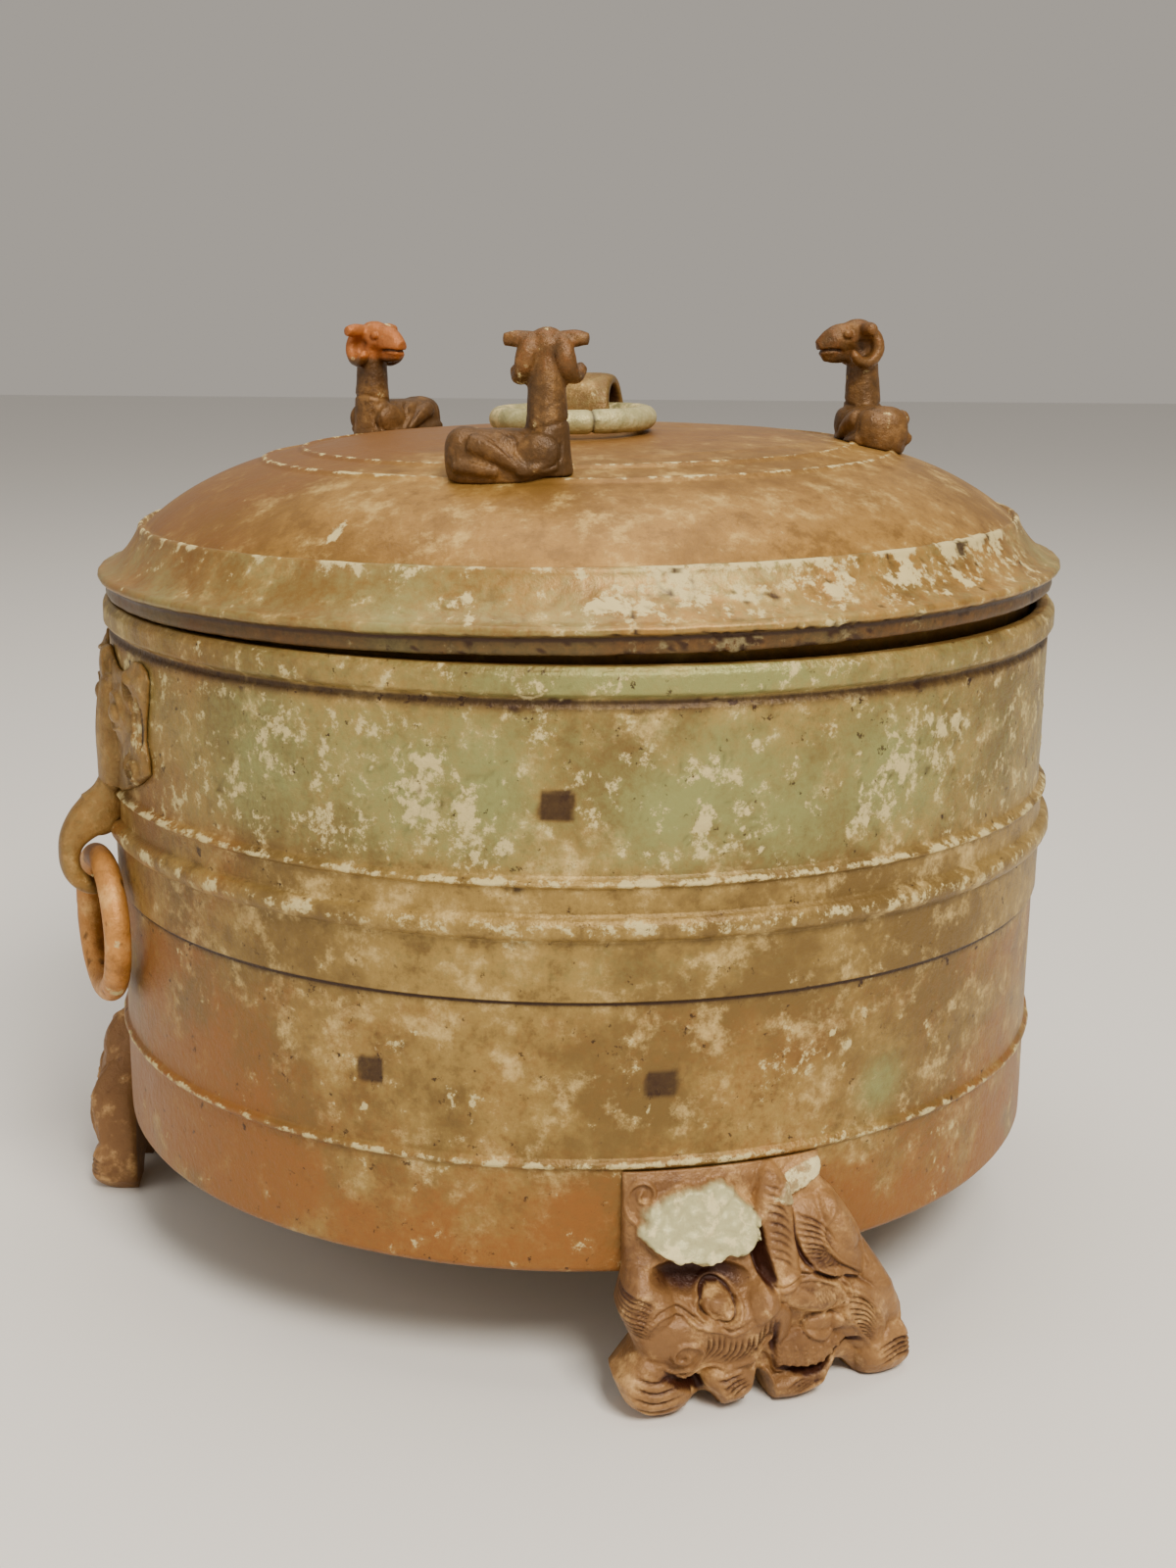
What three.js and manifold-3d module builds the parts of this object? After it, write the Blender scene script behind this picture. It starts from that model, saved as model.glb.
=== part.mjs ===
// Bronze wine warmer: a lidded cylindrical vessel on three beast-face feet,
// with two mask-and-ring handles, a domed lid, three recumbent rams and a ring in a loop.
// Millimetres, +Z up, the photographed front faces -Y. Azimuths are degrees from the front
// towards +X, seen from above. Heights in the vessel are counted from its flat underside.

import * as THREE from 'three';
import { mergeVertices } from 'three/addons/utils/BufferGeometryUtils.js';
import Module from 'manifold-3d';

const wasm = await Module();
wasm.setup();

// Clearances
const SEAT_GAP = 0.3;
const RUNNING_GAP = 1.5;

// Facets
const ROUND_SEGMENTS = 40;
const RING_SEGMENTS = 14;
const RING_SIDES = 6;

// Vessel body
const WALL_RADIUS = 115;
const WALL_THICKNESS = 3.4;
const FLOOR_THICKNESS = 3.2;
const FLOOR_CORNER = 3.0;
const RIM_TOP = 129.1;
const RIM_BAND_HEIGHT = 6.4;
const RIM_BAND_PROUD = 1.2;
const RIM_GROOVE_HEIGHT = 1.4;
const RIM_GROOVE_DEPTH = 0.7;

// Raised bands round the vessel: middle height and how far each stands proud
const LOWER_LINE_HEIGHT = 24.5;
const UPPER_LINE_HEIGHT = 85.4;
const LINE_WIDTH = 1.9;
const LINE_PROUD = 1.1;
const COLLAR_BOTTOM = 60;
const COLLAR_PROUD = 0.8;
const TORUS_BAND_HEIGHT = 76;
const TORUS_BAND_WIDTH = 5.2;
const TORUS_BAND_PROUD = 2.9;

// Lid
const LID_TILT_DEG = 0.9;
const LID_BAND_PROUD = 0.2;
const LID_BAND_HEIGHT = 4.0;
const LID_EDGE_PROUD = 1.8;
const LID_EDGE_THICKNESS = 2.0;
const LID_SKIRT_RUN = 10.6;
const LID_SKIRT_TOP_HEIGHT = 14.2;
const LID_HEIGHT = 36.6;
const LID_FLAT_RADIUS = 17;
const LID_SHOULDER_FULLNESS = 3.9;
const LID_SHOULDER_SOFTNESS = 0.9;
const LID_CROWN_SHARE = 0.2;
const LID_THICKNESS = 3.1;
const LID_FLANGE_DEPTH = 6;
const LID_FLANGE_THICKNESS = 2.6;
const LID_FLANGE_CLEARANCE = 0.9;
const LID_LINE_RADII = [67.2, 76.5];
const LID_LINE_PROUD = 0.55;
const LID_LINE_WIDTH = 2.2;

// Loop and loose ring on the lid
const LOOP_OFFSET = 3;
const LOOP_OUTER_RADIUS = 9.6;
const LOOP_STRAP = 3.4;
const LOOP_WIDTH = 12;
const LOOP_TURN_DEG = -14;
const LOOP_LEG = 3.1;
const LID_RING_OUTER_RADIUS = 19.9;
const LID_RING_TUBE_RADIUS = 2.8;

// Rams on the lid
const RAM_AZIMUTHS_DEG = { front: -5, right: 98, left: -130 };
const RAM_HEIGHT = 30;
const RAM_DRAWN_HEIGHT = 30;

// Feet
const FOOT_AZIMUTHS_DEG = { front: 20, left: -98, back: 140 };
const FOOT_DROP = 28.8;
const FOOT_TOP_CLEARANCE = 0.4;
const FOOT_DRAWN_HEIGHT = 51.95;
const FOOT_LEAST_THICKNESS = 1.2;
const FOOT_COLUMNS = 19;
const FOOT_HALF_ROWS = 6;

// Masks and their rings
const HANDLE_AZIMUTHS_DEG = { left: -70, right: 110 };
const MASK_HALF_WIDTH = 31;
const MASK_ABOVE_LINE = 0.55;
const MASK_BELOW_RIM = 1.7;
const MASK_DRAWN_HEIGHT = 32.7;
const MASK_LEAST_THICKNESS = 1.5;
const MASK_COLUMNS = 12;
const MASK_HALF_ROWS = 4;
const HOOK_HOLE_RADIUS = 4.9;
const HOOK_STRAP = 4.7;
const HOOK_CROWN_RISE = 1.6;
const HOOK_WIDTH = 7.6;
const HANDLE_RING_OUTER_RADIUS = 19.1;
const HANDLE_RING_TUBE_RADIUS = 3.1;
const HANDLE_RING_WALL_GAP = 1.7;
const HANDLE_RING_TURN_DEG = 5;

const radians = THREE.MathUtils.degToRad;
const blend = THREE.MathUtils.smoothstep;

// Small helpers

function straightened(points, value) {
  const last = points.length - 1;
  if (value <= points[0][0]) return points[0][1];
  if (value >= points[last][0]) return points[last][1];
  const next = points.findIndex(([at]) => at > value);
  const [a, b] = [points[next - 1], points[next]];
  return b[1] + (a[1] - b[1]) * (b[0] - value) / (b[0] - a[0]);
}

function bump(u, h, middleU, middleH, halfWidth, halfHeight) {
  const distance = Math.hypot((u - middleU) / halfWidth, (h - middleH) / halfHeight);
  return distance < 1 ? Math.cos(distance * Math.PI / 2) ** 1.4 : 0;
}

function onAxis(radius, azimuth, height) {
  return new THREE.Vector3(radius * Math.sin(azimuth), -radius * Math.cos(azimuth), height);
}

function closedLathe(points) {
  const profile = points.map(([radius, height]) => new THREE.Vector2(radius, height));
  const lathe = new THREE.LatheGeometry(profile, ROUND_SEGMENTS);
  return lathe.rotateX(Math.PI / 2);
}

function toSolid(geometry) {
  const bare = geometry.clone();
  bare.deleteAttribute('normal');
  bare.deleteAttribute('uv');
  const merged = mergeVertices(bare, 1e-4);
  const corners = Array.from(merged.index.array);
  const whole = [];
  for (let i = 0; i < corners.length; i += 3) {
    const [a, b, c] = corners.slice(i, i + 3);
    if (a !== b && b !== c && c !== a) whole.push(a, b, c);
  }
  return new wasm.Manifold(new wasm.Mesh({
    numProp: 3,
    vertProperties: new Float32Array(merged.attributes.position.array),
    triVerts: new Uint32Array(whole),
  }));
}

function toGeometry(solid) {
  const mesh = solid.getMesh();
  const geometry = new THREE.BufferGeometry();
  geometry.setAttribute('position', new THREE.BufferAttribute(new Float32Array(mesh.vertProperties), 3));
  geometry.setIndex(Array.from(mesh.triVerts));
  geometry.computeVertexNormals();
  return geometry;
}

function joined(geometries) {
  return geometries.map(toSolid).reduce((whole, piece) => whole.add(piece));
}

// A closed plate wrapped round the wall: a carved front over a plain back that follows the wall.
// place(s, t) gives [arc length, height]; front(u, z) gives the radius of the carved face.
// The back needs only three rows, so the sides fan from each of them to the rows in front.
function wallPlate({ columns, halfRows, place, front, back }) {
  const rows = 2 * halfRows;
  const corners = [];
  const faces = [];
  const row = (j, radiusAt) => Array.from({ length: columns + 1 }, (_, i) => {
    const [u, z] = place(i / columns, j / rows);
    return corners.push(...onAxis(radiusAt(u, z), u / WALL_RADIUS, z).toArray()) / 3 - 1;
  });
  const quad = (a, b, c, d) => faces.push(a, b, c, a, c, d);
  const carved = Array.from({ length: rows + 1 }, (_, j) => row(j, front));
  const plain = [0, halfRows, rows].map((j) => row(j, () => back));
  for (let i = 0; i < columns; i += 1) {
    for (let j = 0; j < rows; j += 1) {
      quad(carved[j][i], carved[j][i + 1], carved[j + 1][i + 1], carved[j + 1][i]);
    }
    quad(plain[0][i + 1], plain[0][i], plain[1][i], plain[1][i + 1]);
    quad(plain[1][i + 1], plain[1][i], plain[2][i], plain[2][i + 1]);
    quad(plain[0][i], plain[0][i + 1], carved[0][i + 1], carved[0][i]);
    quad(carved[rows][i], carved[rows][i + 1], plain[2][i + 1], plain[2][i]);
  }
  for (const half of [0, 1]) {
    const first = half * halfRows;
    const turn = first + Math.ceil(halfRows / 2);
    for (let j = first; j < first + halfRows; j += 1) {
      const level = plain[j < turn ? half : half + 1];
      faces.push(carved[j][0], carved[j + 1][0], level[0]);
      faces.push(carved[j + 1][columns], carved[j][columns], level[columns]);
    }
    faces.push(plain[half][0], carved[turn][0], plain[half + 1][0]);
    faces.push(carved[turn][columns], plain[half][columns], plain[half + 1][columns]);
  }
  const geometry = new THREE.BufferGeometry();
  geometry.setAttribute('position', new THREE.BufferAttribute(new Float32Array(corners), 3));
  geometry.setIndex(faces);
  geometry.computeVertexNormals();
  return geometry;
}

// Finishes, as the photograph shows them
const finishes = {
  body: new THREE.MeshStandardMaterial({ color: 0x8a7f55, roughness: 0.62, metalness: 0.35 }),
  lid: new THREE.MeshStandardMaterial({ color: 0x9a8258, roughness: 0.6, metalness: 0.35 }),
  figure: new THREE.MeshStandardMaterial({ color: 0x7d6546, roughness: 0.65, metalness: 0.3 }),
  foot: new THREE.MeshStandardMaterial({ color: 0x93754f, roughness: 0.6, metalness: 0.3 }),
  ring: new THREE.MeshStandardMaterial({ color: 0xb0ad86, roughness: 0.55, metalness: 0.3 }),
};

// Vessel

const mouthRadius = WALL_RADIUS - WALL_THICKNESS;
const collarRadius = WALL_RADIUS + COLLAR_PROUD;
const torusBandRadius = WALL_RADIUS + TORUS_BAND_PROUD;
const rimRadius = WALL_RADIUS + RIM_BAND_PROUD;
const rimBandBottom = RIM_TOP - RIM_BAND_HEIGHT;

function raisedLine(radius, height) {
  const half = LINE_WIDTH / 2;
  const crest = WALL_RADIUS + LINE_PROUD;
  return [[radius, height - half], [crest, height - half * 0.3], [crest, height + half * 0.3],
    [WALL_RADIUS, height + half]];
}

function vesselProfile() {
  const halfTorus = TORUS_BAND_WIDTH / 2;
  return [
    [0, 0],
    [WALL_RADIUS - 0.5, 0],
    [WALL_RADIUS, 1.4],
    ...raisedLine(WALL_RADIUS, LOWER_LINE_HEIGHT),
    [WALL_RADIUS, COLLAR_BOTTOM],
    [collarRadius, COLLAR_BOTTOM + 0.3],
    [collarRadius, TORUS_BAND_HEIGHT - halfTorus],
    [torusBandRadius - 0.8, TORUS_BAND_HEIGHT - halfTorus * 0.75],
    [torusBandRadius, TORUS_BAND_HEIGHT],
    [torusBandRadius - 0.8, TORUS_BAND_HEIGHT + halfTorus * 0.75],
    [collarRadius, TORUS_BAND_HEIGHT + halfTorus],
    ...raisedLine(collarRadius, UPPER_LINE_HEIGHT),
    [WALL_RADIUS, rimBandBottom - RIM_GROOVE_HEIGHT],
    [WALL_RADIUS - RIM_GROOVE_DEPTH, rimBandBottom - RIM_GROOVE_HEIGHT * 0.7],
    [WALL_RADIUS - RIM_GROOVE_DEPTH, rimBandBottom],
    [rimRadius - 0.9, rimBandBottom + 0.3],
    [rimRadius, rimBandBottom + 1.9],
    [rimRadius, RIM_TOP - 1.6],
    [rimRadius - 1.0, RIM_TOP],
    [mouthRadius, RIM_TOP],
    [mouthRadius, FLOOR_THICKNESS + FLOOR_CORNER],
    [mouthRadius - FLOOR_CORNER, FLOOR_THICKNESS],
    [0, FLOOR_THICKNESS],
  ];
}

const vessel = new THREE.Mesh(closedLathe(vesselProfile()), finishes.body);
vessel.name = 'vessel';

// Lid, in its own frame: height 0 is the underside of its edge band

const lidBandRadius = WALL_RADIUS + LID_BAND_PROUD;
const lidEdgeRadius = lidBandRadius + LID_EDGE_PROUD;
const skirtTopRadius = lidEdgeRadius - LID_SKIRT_RUN;
const flangeRadius = mouthRadius - LID_FLANGE_CLEARANCE;
const flangeInner = flangeRadius - LID_FLANGE_THICKNESS;
const flangeRoot = 1.8;

// The dome rises from the skirt's top over a full shoulder to a slowly rising crown
function domeHeight(radius) {
  const reach = Math.max(0, (radius - LID_FLAT_RADIUS) / (skirtTopRadius - LID_FLAT_RADIUS));
  const shoulder = (1 - Math.min(1, reach) ** LID_SHOULDER_FULLNESS) ** LID_SHOULDER_SOFTNESS;
  const crown = 1 - reach;
  const rise = LID_HEIGHT - LID_SKIRT_TOP_HEIGHT;
  return LID_SKIRT_TOP_HEIGHT + rise * ((1 - LID_CROWN_SHARE) * shoulder + LID_CROWN_SHARE * crown);
}

const domePoint = (radius, below = 0) => [radius, domeHeight(radius) - below];

function lidOuterProfile() {
  const half = LID_LINE_WIDTH / 2;
  const lines = LID_LINE_RADII.flatMap((radius) => [
    domePoint(radius - half),
    domePoint(radius, -LID_LINE_PROUD),
    domePoint(radius + half),
  ]);
  const shoulder = [0.805, 0.875, 0.932, 0.974].map((share) => domePoint(skirtTopRadius * share));
  const edgeTop = LID_BAND_HEIGHT + LID_EDGE_THICKNESS;
  const skirtRise = LID_SKIRT_TOP_HEIGHT - edgeTop;
  const skirt = [0.04, 0.24, 0.55].map((share) => [
    skirtTopRadius + 0.5 + LID_SKIRT_RUN * share,
    edgeTop + skirtRise * (1 - share) ** 2.4,
  ]);
  return [
    [0, LID_HEIGHT],
    [LID_FLAT_RADIUS, LID_HEIGHT],
    domePoint(skirtTopRadius * 0.42),
    ...lines,
    ...shoulder,
    [skirtTopRadius - 0.6, LID_SKIRT_TOP_HEIGHT + 1.6],
    [skirtTopRadius + 0.5, LID_SKIRT_TOP_HEIGHT + 0.9],
    ...skirt,
    [lidEdgeRadius, edgeTop],
    [lidEdgeRadius, LID_BAND_HEIGHT + 0.2],
    [lidBandRadius, LID_BAND_HEIGHT - 0.4],
    [lidBandRadius, 0],
  ];
}

function lidInnerProfile() {
  return [
    [lidBandRadius - LID_THICKNESS, 0],
    [lidBandRadius - LID_THICKNESS, flangeRoot],
    [flangeRadius, flangeRoot],
    [flangeRadius - 0.4, -LID_FLANGE_DEPTH],
    [flangeInner, -LID_FLANGE_DEPTH],
    [flangeInner, flangeRoot + 1.4],
    [skirtTopRadius - LID_THICKNESS, LID_SKIRT_TOP_HEIGHT - 1.2],
    domePoint(skirtTopRadius * 0.908, LID_THICKNESS * 1.35),
    domePoint(skirtTopRadius * 0.796, LID_THICKNESS * 1.08),
    domePoint(skirtTopRadius * 0.562, LID_THICKNESS),
    [0, LID_HEIGHT - LID_THICKNESS],
  ];
}

const lidProfile = [...lidOuterProfile(), ...lidInnerProfile()].reverse();
const lid = new THREE.Mesh(closedLathe(lidProfile), finishes.lid);
lid.name = 'lid';

// Loop: a strap bent to an arch, its tunnel running across the lid
const loopSeat = LID_HEIGHT + SEAT_GAP;
const loopHoleRadius = LOOP_OUTER_RADIUS - LOOP_STRAP;

function loopGeometry() {
  const arch = (radius) => Array.from({ length: 9 }, (_, i) => {
    const angle = Math.PI * i / 8;
    return new THREE.Vector2(radius * Math.cos(angle), LOOP_LEG + radius * Math.sin(angle));
  });
  const outer = arch(LOOP_OUTER_RADIUS);
  const inner = arch(loopHoleRadius).reverse();
  const outline = new THREE.Shape([
    new THREE.Vector2(LOOP_OUTER_RADIUS, 0), ...outer, new THREE.Vector2(-LOOP_OUTER_RADIUS, 0),
    new THREE.Vector2(-loopHoleRadius, 0), ...inner, new THREE.Vector2(loopHoleRadius, 0),
  ]);
  const strap = new THREE.ExtrudeGeometry(outline, { depth: LOOP_WIDTH, bevelEnabled: false, steps: 1 });
  return strap.translate(0, 0, -LOOP_WIDTH / 2).rotateX(Math.PI / 2).rotateZ(Math.PI / 2);
}

const lidLoop = new THREE.Mesh(loopGeometry(), finishes.body);
lidLoop.name = 'lid_loop';
lidLoop.position.set(LOOP_OFFSET, 0, loopSeat);
lidLoop.rotation.z = radians(LOOP_TURN_DEG);

// Ring: lies on the lid towards the front, its far side inside the loop
const lidRingRadius = LID_RING_OUTER_RADIUS - LID_RING_TUBE_RADIUS;
const lidRing = new THREE.Mesh(
  new THREE.TorusGeometry(lidRingRadius, LID_RING_TUBE_RADIUS, RING_SIDES, RING_SEGMENTS),
  finishes.ring,
);
lidRing.name = 'lid_ring';
const ringHinge = new THREE.Group();
ringHinge.position.set(LOOP_OFFSET, 0, loopSeat + LID_RING_TUBE_RADIUS);
ringHinge.rotation.z = radians(LOOP_TURN_DEG);
lidRing.position.set(0, -lidRingRadius, 0);
ringHinge.add(lidRing);

// Rams: lying along the lid's circle, neck upright, head turned to the lid's middle.
// Local frame: X towards the head end, Y towards the lid's middle, Z up; drawn at RAM_DRAWN_HEIGHT.
// Each ram sits on the two outer raised lines of the lid, on a base cut flat along both crests.
const [innerCrest, outerCrest] = LID_LINE_RADII
  .map((radius) => ({ radius, height: domeHeight(radius) + LID_LINE_PROUD }));
const seatSlope = (innerCrest.height - outerCrest.height) / (outerCrest.radius - innerCrest.radius);
const ramCircleRadius = (innerCrest.radius + outerCrest.radius) / 2;
const ramSeatHeight = (innerCrest.height + outerCrest.height) / 2 + SEAT_GAP;

function ramGeometry() {
  const share = RAM_HEIGHT / RAM_DRAWN_HEIGHT;
  const ellipsoid = (radii, at, across, around) => new THREE.SphereGeometry(1, across, around)
    .rotateX(Math.PI / 2).scale(...radii).translate(...at);
  const body = new THREE.CylinderGeometry(6.4, 7.0, 23, 8).rotateY(Math.PI / 8)
    .rotateZ(-Math.PI / 2).scale(1, 1, 0.97).translate(-10.3, 0, 2.2);
  const haunch = ellipsoid([6.6, 3.4, 5.4], [-15.2, -4.6, 3.2], 6, 4);
  const foreleg = ellipsoid([4.6, 3.0, 4.4], [-1.8, -4.9, 4.0], 6, 4);
  const neck = new THREE.CylinderGeometry(4.0, 5.2, 22, 7).rotateX(Math.PI / 2).translate(0, 0, 12);
  const skull = ellipsoid([4.5, 5.4, 4.6], [0, 1.4, 25.2], 7, 5);
  const muzzle = new THREE.CylinderGeometry(2.5, 4.3, 9.5, 6).scale(0.78, 1, 1.05)
    .rotateX(radians(-14)).translate(0, 7.2, 23.4);
  const horns = [-1, 1].map((side) => new THREE.TorusGeometry(3.4, 1.5, 4, 7)
    .rotateY(Math.PI / 2).rotateY(side * radians(-20)).translate(side * 5.3, 1.0, 23.0));
  const ears = [-1, 1].map((side) => new THREE.CylinderGeometry(1.2, 1.9, 5.4, 5)
    .rotateZ(side * radians(-86)).translate(side * 6.9, 0.6, 26.8));
  const whole = joined([body, haunch, foreleg, neck, skull, muzzle, ...horns, ...ears]
    .map((piece) => piece.scale(share, share, share)));
  const below = new THREE.BoxGeometry(RAM_HEIGHT * 2, RAM_HEIGHT * 2, RAM_HEIGHT)
    .translate(0, 0, -RAM_HEIGHT / 2).rotateX(Math.atan(seatSlope));
  return toGeometry(whole.subtract(toSolid(below)));
}

function makeRam(name, azimuthDeg) {
  const azimuth = radians(azimuthDeg);
  const ram = new THREE.Mesh(ramGeometry(), finishes.figure);
  ram.name = name;
  ram.position.copy(onAxis(ramCircleRadius, azimuth, ramSeatHeight));
  ram.rotation.z = azimuth;
  return ram;
}

const rams = Object.entries(RAM_AZIMUTHS_DEG).map(([side, azimuth]) => makeRam(`ram_${side}`, azimuth));

// The lid group leans: its left edge rests on the rim and its right edge stands a little off it
const lidGroup = new THREE.Group();
const tilt = radians(LID_TILT_DEG);
lidGroup.position.z = RIM_TOP + SEAT_GAP + lidBandRadius * Math.sin(tilt);
lidGroup.rotation.y = -tilt;
lidGroup.add(lid, lidLoop, ringHinge, ...rams);

// Feet: a beast's face over two paws, carved on a bracket that hugs the wall.
// u is the arc length from the foot's middle line, h the height above the floor; the outline and
// the carving are drawn at FOOT_DRAWN_HEIGHT and grow with the foot's own height.
const footHeight = FOOT_DROP + LOWER_LINE_HEIGHT - LINE_WIDTH / 2 - FOOT_TOP_CLEARANCE;
const footShare = footHeight / FOOT_DRAWN_HEIGHT;
const footBack = WALL_RADIUS + SEAT_GAP;

const footLeftEdge = (h) => straightened([[0, -27], [4, -31], [9, -33], [15.5, -28.5], [24, -32], [31, -30.5],
  [52, -30.5]], h);
const footRightEdge = (h) => straightened([[0, 31], [3, 33.5], [9, 33], [16, 30.5], [24, 26.5], [36, 20.5],
  [43, 16.5], [46, 13.5], [52, 13]], h);
const footSlab = (h) => straightened([[0, 7.4], [4, 9], [12, 9.2], [18, 10.4], [23, 11.6], [28, 10],
  [36, 6], [45, 2.6], [52, 1.6]], h);

// Between the paws and the claws the sole is hollowed up from the floor
function footSole(u) {
  const gaps = [[-14.2, 2.2, 3.2], [-2.6, 1.8, 6.5], [15.5, 3.6, 4.6]];
  return gaps.reduce((rise, [middle, half, high]) => rise + high * bump(u, 0, middle, 0, half * 1.6, 1), 0);
}

// The carving, as swellings and hollows of the slab: [middle u, middle h, half width, half height, depth]
const FOOT_CARVING = {
  leftPaw: [-25, 5, 10, 8.5, 4.4],
  rightPaw: [28, 4.5, 8.5, 8.5, 3.8],
  leftClaw: [-9, 5.5, 5.6, 7.5, 2.8],
  rightClaw: [6, 4, 8, 6, 2.8],
  betweenLeftPawAndClaw: [-15.5, 5, 3.4, 6.5, -3.6],
  betweenClaws: [-1.5, 4, 3, 6.5, -4],
  betweenRightClawAndPaw: [17, 5, 4, 5.5, -3.6],
  shoulder: [-28, 25, 7.5, 9, 2.8],
  eye: [-12, 24, 4.8, 4.6, 3.4],
  noseBridge: [-4, 23.5, 5, 8, 3.8],
  maneSwirl: [-15, 14.5, 13, 6.5, 3],
  muzzle: [6, 11, 9.5, 5.5, 2.8],
  rightCheek: [21, 15, 7, 9, 3.2],
  rightEye: [11, 17, 4.4, 3.8, 2.4],
  rightBrow: [7, 28.5, 9, 4.4, 2.6],
  middleBand: [0, 40, 4, 14, 5],
  rightEar: [14, 40, 5.4, 9.5, 3.2],
  upperCurl: [-26, 46, 5, 6, 2.6],
  hollowUnderLump: [-16, 31, 10.5, 4.2, -4],
};
const CORROSION_LUMP = [-15.5, 41.5, 13.5, 9.5, 4.8];

function footRelief(u, h, corroded) {
  const rim = blend(Math.min(u - footLeftEdge(h), footRightEdge(h) - u), -1.5, 5);
  const carving = Object.values(FOOT_CARVING);
  if (corroded) carving.push(CORROSION_LUMP);
  const swelling = carving.reduce((sum, [...shape]) => {
    const depth = shape.pop();
    return sum + depth * bump(u, h, ...shape);
  }, 0);
  return Math.max(FOOT_LEAST_THICKNESS, footShare * (footSlab(h) * (0.5 + 0.5 * rim) + swelling));
}

function footGeometry(corroded) {
  const place = (s, t) => {
    const drawn = FOOT_DRAWN_HEIGHT * t;
    const u = footLeftEdge(drawn) + s * (footRightEdge(drawn) - footLeftEdge(drawn));
    const sole = footSole(u) * (1 - t) ** 3;
    return [footShare * u, footShare * (drawn + sole) - FOOT_DROP];
  };
  const front = (u, z) => footBack + footRelief(u / footShare, (z + FOOT_DROP) / footShare, corroded);
  return wallPlate({ columns: FOOT_COLUMNS, halfRows: FOOT_HALF_ROWS, place, front, back: footBack });
}

function makeFoot(name, azimuthDeg, corroded) {
  const foot = new THREE.Mesh(footGeometry(corroded), finishes.foot);
  foot.name = name;
  foot.rotation.z = radians(azimuthDeg);
  return foot;
}

const feet = Object.entries(FOOT_AZIMUTHS_DEG)
  .map(([side, azimuth]) => makeFoot(`foot_${side}`, azimuth, side === 'front'));

// Masks: a beast's face on the wall whose nose runs out into a curled hook for the ring

const hookCentreRadius = collarRadius + HANDLE_RING_WALL_GAP + HANDLE_RING_TUBE_RADIUS;
const hookCentreHeight = TORUS_BAND_HEIGHT - TORUS_BAND_WIDTH / 2 - HANDLE_RING_TUBE_RADIUS - RUNNING_GAP;
const hookOuterRadius = HOOK_HOLE_RADIUS + HOOK_STRAP;
const maskBottom = UPPER_LINE_HEIGHT + LINE_WIDTH / 2 + MASK_ABOVE_LINE;
const maskHeight = rimBandBottom - RIM_GROOVE_HEIGHT - MASK_BELOW_RIM - maskBottom;

const MASK_CARVING = {
  nose: [0, 6, 7.5, 18, 2.8],
  eye: [11, 17.5, 5.2, 4.6, 2.2],
  cheekCurl: [21, 9, 7.5, 5.5, 1.8],
  horn: [22, 25.5, 9, 5.4, 1.9],
  crest: [0, 28, 5.5, 7, 1.6],
};

// The mask is even about its middle line; its outline narrows below the horns and at the nose
const maskHalfShare = (t) => straightened([[0, 0.3], [0.12, 0.66], [0.26, 0.92], [0.45, 0.78], [0.72, 0.92],
  [0.9, 1], [1, 0.86]], t);

function maskRelief(u, z) {
  const h = (z - maskBottom) * MASK_DRAWN_HEIGHT / maskHeight;
  return Object.values(MASK_CARVING)
    .reduce((sum, [...shape]) => {
      const depth = shape.pop();
      return sum + depth * bump(Math.abs(u), h, ...shape);
    }, MASK_LEAST_THICKNESS);
}

function maskPlate() {
  const place = (s, t) => {
    const across = 2 * s - 1;
    const dip = 0.12 * t ** 2 * bump(Math.abs(across), 0, 0.45, 0, 0.4, 1);
    return [MASK_HALF_WIDTH * maskHalfShare(t) * across, maskBottom + maskHeight * (t - dip)];
  };
  const back = WALL_RADIUS + SEAT_GAP;
  const front = (u, z) => back + maskRelief(u, z);
  return wallPlate({ columns: MASK_COLUMNS, halfRows: MASK_HALF_ROWS, place, front, back });
}

// The hook's outline in the plane of the vessel's axis, extruded to the strap's width
function hookGeometry() {
  const around = (radius, rise, from, to, count) => Array.from({ length: count + 1 }, (_, i) => {
    const angle = radians(from + (to - from) * i / count);
    return new THREE.Vector2(
      hookCentreRadius + radius * Math.cos(angle),
      hookCentreHeight + rise + radius * Math.sin(angle),
    );
  });
  const rootInner = WALL_RADIUS + LINE_PROUD + SEAT_GAP;
  const bandInner = torusBandRadius + SEAT_GAP;
  const bandTop = TORUS_BAND_HEIGHT + TORUS_BAND_WIDTH / 2 + SEAT_GAP;
  const outline = new THREE.Shape([
    new THREE.Vector2(rootInner, maskBottom + 4),
    new THREE.Vector2(rootInner, bandTop),
    new THREE.Vector2(bandInner, bandTop),
    ...around(HOOK_HOLE_RADIUS, 0, 112, -108, 9),
    ...around(hookOuterRadius, HOOK_CROWN_RISE, -110, 62, 8),
    new THREE.Vector2(hookCentreRadius + hookOuterRadius * 0.1, maskBottom - 4),
    new THREE.Vector2(WALL_RADIUS + 4, maskBottom - 1.8),
    new THREE.Vector2(WALL_RADIUS + 4, maskBottom + 4),
  ]);
  const strap = new THREE.ExtrudeGeometry(outline, { depth: HOOK_WIDTH, bevelEnabled: false, steps: 1 });
  return strap.translate(0, 0, -HOOK_WIDTH / 2).rotateX(Math.PI / 2).rotateZ(-Math.PI / 2);
}

function makeMask(name, azimuthDeg) {
  const mask = new THREE.Mesh(toGeometry(joined([maskPlate(), hookGeometry()])), finishes.body);
  mask.name = name;
  mask.rotation.z = radians(azimuthDeg);
  return mask;
}

const handleRingRadius = HANDLE_RING_OUTER_RADIUS - HANDLE_RING_TUBE_RADIUS;

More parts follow.
